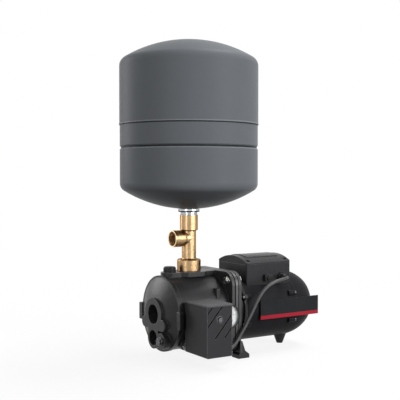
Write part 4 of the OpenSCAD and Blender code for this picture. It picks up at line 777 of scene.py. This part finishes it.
# pipe threads: eleven turns an inch, cut in the ports and on the tee and the tank's neck
pipePitch = 2.309
threads = {
    "suctionThread": {"at": (-157.5, 0, 90), "turn": (0, 90, 0), "radius": 19.75, "turns": 9.3, "ridge": 0.8,
                      "finish": "castPaint", "slot": "cast_black"},
    "driveThread": {"at": (-157.5, 0, 43.4), "turn": (0, 90, 0), "radius": 15.4, "turns": 9.3, "ridge": 0.8,
                    "finish": "castPaint", "slot": "cast_black"},
    "branchThread": {"at": (-113.6, 0, 237), "turn": (0, 90, 0), "radius": 16.5, "turns": 7.2, "ridge": 0.42,
                     "finish": "brass", "slot": "brass"},
    "neckThread": {"at": (-76, 0, 284.8), "turn": (0, 0, 0), "radius": 16.4, "turns": 2.0, "ridge": 0.7,
                   "finish": "tankFitting", "slot": "tank_fitting"},
}
for name, cut in threads.items():
    growPiece(name, threadTree, {"Radius": cut["radius"] * mm, "Pitch": pipePitch * mm, "Turns": cut["turns"],
                                 "Ridge": cut["ridge"] * mm},
              placed(*cut["at"], cut["turn"]), materials[cut["finish"]], "pump")

# grip ribs on caps and gland nuts
grips = {
    "fillerGrip": {"at": (-121, 0, 176.2), "turn": (0, 0, 0), "radius": 11.9, "count": 26, "rib": 0.75,
                   "height": 6.0, "body": "filler"},
    "glandGrip": {"at": (118, -54.6, 152), "turn": (90, 0, 0), "radius": 7.95, "count": 20, "rib": 0.55,
                  "height": 4.0, "body": "pump"},
    "switchGlandGrip": {"at": (-72.2, -105, 36), "turn": (0, 90, 0), "radius": 7.45, "count": 20, "rib": 0.5,
                        "height": 3.0, "body": "pump"},
    "valveCapGrip": {"at": (-76, 0, 623.5), "turn": (0, 0, 0), "radius": 6.15, "count": 18, "rib": 0.45,
                     "height": 8.0, "body": "valve_cap"},
}
for name, grip in grips.items():
    growPiece(name, ribRingTree, {"Count": grip["count"], "Radius": grip["radius"] * mm,
                                  "Rib": grip["rib"] * mm, "Height": grip["height"] * mm},
              placed(*grip["at"], grip["turn"]), materials["mouldedBlack"], grip["body"])
print("threads and grips made")


# gauge dial, in degrees and millimetres: the scale starts low on the left and runs clockwise
dial = {"centre": (-48, -99.02, 90), "start": 225, "sweep": 270, "last": 10, "numbers": (0, 2, 4, 6, 8, 10),
        "numberRadius": 13.6, "numberSize": 4.6, "numberHeight": 0.05, "marks": {
            "dialFineMarks": {"count": 51, "radius": 20.0, "length": 1.4, "width": 0.22, "thickness": 0.1},
            "dialMarks": {"count": 11, "radius": 19.4, "length": 2.8, "width": 0.5, "thickness": 0.12}}}
dialPlace = placed(*dial["centre"], (90, 0, 0))
for name, mark in dial["marks"].items():
    growPiece(name, scaleTree, {"Marks": mark["count"], "Radius": mark["radius"] * mm,
                                "Start": math.radians(dial["start"]), "Sweep": -math.radians(dial["sweep"]),
                                "Length": mark["length"] * mm, "Width": mark["width"] * mm,
                                "Thickness": mark["thickness"] * mm},
              dialPlace, materials["printBlack"], "pump")


def makeDialNumbers():
    mesh = bmesh.new()
    for number in dial["numbers"]:
        text = bpy.data.curves.new("number", "FONT")
        text.body = str(number)
        text.size = dial["numberSize"] * mm
        text.align_x, text.align_y = "CENTER", "CENTER"
        text.extrude = dial["numberHeight"] * mm
        holder = addObject("number", text)
        data = bpy.data.meshes.new_from_object(holder.evaluated_get(bpy.context.evaluated_depsgraph_get()))
        bpy.data.objects.remove(holder)
        angle = math.radians(dial["start"] - dial["sweep"] * number / dial["last"])
        spot = Vector((math.cos(angle), math.sin(angle), 0)) * dial["numberRadius"] * mm
        data.transform(dialPlace @ Matrix.Translation(spot))
        mesh.from_mesh(data)
    bmesh.ops.remove_doubles(mesh, verts=mesh.verts, dist=1e-7)
    bmesh.ops.recalc_face_normals(mesh, faces=mesh.faces)
    data = bpy.data.meshes.new("dialNumbers")
    mesh.to_mesh(data)
    mesh.free()
    data.materials.append(materials["printBlack"])
    piece = addObject("dialNumbers", data)
    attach(piece, "pump")


makeDialNumbers()
print("gauge dial printed")


# floor, world and lamps
# seen is the floor's matt colour in the view, bounce its colour for the light that it throws back
# whiteNear is its share of plain white at the pump, which grows to 1 between fadeFrom and fadeTo metres away
studio = {"floorSize": 14, "seen": (0.85, 0.85, 0.85, 1), "bounce": (0.05, 0.05, 0.05, 1), "whiteNear": 0.85,
          "fadeFrom": 0.5, "fadeTo": 1.5, "skyFill": 0.3, "lampsAim": (0, 0, 0.3)}
white = (1, 1, 1, 1)


def seesBackground(tree):
    # 1 where the camera, a reflection or glass looks at it
    path = addNode(tree, "ShaderNodeLightPath")
    first = addNode(tree, "ShaderNodeMath", operation="MAXIMUM")
    second = addNode(tree, "ShaderNodeMath", operation="MAXIMUM")
    tree.links.new(path.outputs["Is Camera Ray"], first.inputs[0])
    tree.links.new(path.outputs["Is Glossy Ray"], first.inputs[1])
    tree.links.new(first.outputs[0], second.inputs[0])
    tree.links.new(path.outputs["Is Transmission Ray"], second.inputs[1])
    return second.outputs[0]


def makeFloor():
    half = studio["floorSize"] / 2
    data = bpy.data.meshes.new("floor")
    corners = [(-half, -half, 0), (half, -half, 0), (half, half, 0), (-half, half, 0)]
    data.from_pydata(corners, [], [(0, 1, 2, 3)])
    floor = addObject("floor", data)
    material = bpy.data.materials.new("floorWhite")
    material.use_nodes = True
    tree = material.node_tree
    tree.nodes.clear()
    seen = seesBackground(tree)
    place = addNode(tree, "ShaderNodeTexCoord")
    far = addNode(tree, "ShaderNodeVectorMath", operation="LENGTH")
    fade = addNode(tree, "ShaderNodeMapRange", {
        1: studio["fadeFrom"], 2: studio["fadeTo"], 3: studio["whiteNear"], 4: 1.0,
    }, interpolation_type="SMOOTHSTEP")
    colour = addNode(tree, "ShaderNodeMix", {6: studio["bounce"], 7: studio["seen"]}, data_type="RGBA")
    matt = addNode(tree, "ShaderNodeBsdfDiffuse")
    glow = addNode(tree, "ShaderNodeEmission", {"Color": white, "Strength": 1.0})
    share = addNode(tree, "ShaderNodeMath", operation="MULTIPLY")
    both = addNode(tree, "ShaderNodeMixShader")
    out = addNode(tree, "ShaderNodeOutputMaterial")
    link = tree.links.new
    link(place.outputs["Object"], far.inputs[0])
    link(far.outputs["Value"], fade.inputs[0])
    link(seen, share.inputs[0])
    link(fade.outputs[0], share.inputs[1])
    link(seen, colour.inputs[0])
    link(colour.outputs[2], matt.inputs["Color"])
    link(share.outputs[0], both.inputs[0])
    link(matt.outputs[0], both.inputs[1])
    link(glow.outputs[0], both.inputs[2])
    link(both.outputs[0], out.inputs[0])
    data.materials.append(material)


def makeWorld():
    world = bpy.data.worlds.new("studio")
    bpy.context.scene.world = world
    world.use_nodes = True
    tree = world.node_tree
    tree.nodes.clear()
    fill = addNode(tree, "ShaderNodeBackground", {"Color": white, "Strength": studio["skyFill"]})
    backdrop = addNode(tree, "ShaderNodeBackground", {"Color": white, "Strength": 1.0})
    both = addNode(tree, "ShaderNodeMixShader")
    out = addNode(tree, "ShaderNodeOutputWorld")
    tree.links.new(seesBackground(tree), both.inputs[0])
    tree.links.new(fill.outputs[0], both.inputs[1])
    tree.links.new(backdrop.outputs[0], both.inputs[2])
    tree.links.new(both.outputs[0], out.inputs[0])


# each lamp: where it stands, its size and its power
lamps = {
    "frontLeftBox": {"at": (-2.36, -1.10, 0.9), "size": (0.9, 1.6), "power": 20},
    "frontRightBox": {"at": (1.02, -2.39, 0.86), "size": (1.4, 1.7), "power": 64},
    "backLeftBox": {"at": (-1.42, 2.18, 1.0), "size": (1.2, 1.4), "power": 30},
    "topBox": {"at": (0.95, 0.0, 2.6), "size": (1.4, 1.0), "power": 46},
}


def makeLamp(name, lamp):
    light = bpy.data.lights.new(name, "AREA")
    light.shape = "RECTANGLE"
    light.size, light.size_y = lamp["size"]
    light.energy = lamp["power"]
    holder = addObject(name, light)
    holder.location = lamp["at"]
    holder.rotation_euler = (Vector(studio["lampsAim"]) - holder.location).to_track_quat("-Z", "Y").to_euler()


makeFloor()
makeWorld()
for name, lamp in lamps.items():
    makeLamp(name, lamp)
bpy.context.scene.view_settings.view_transform = "Standard"
print("floor, world and lamps ready")
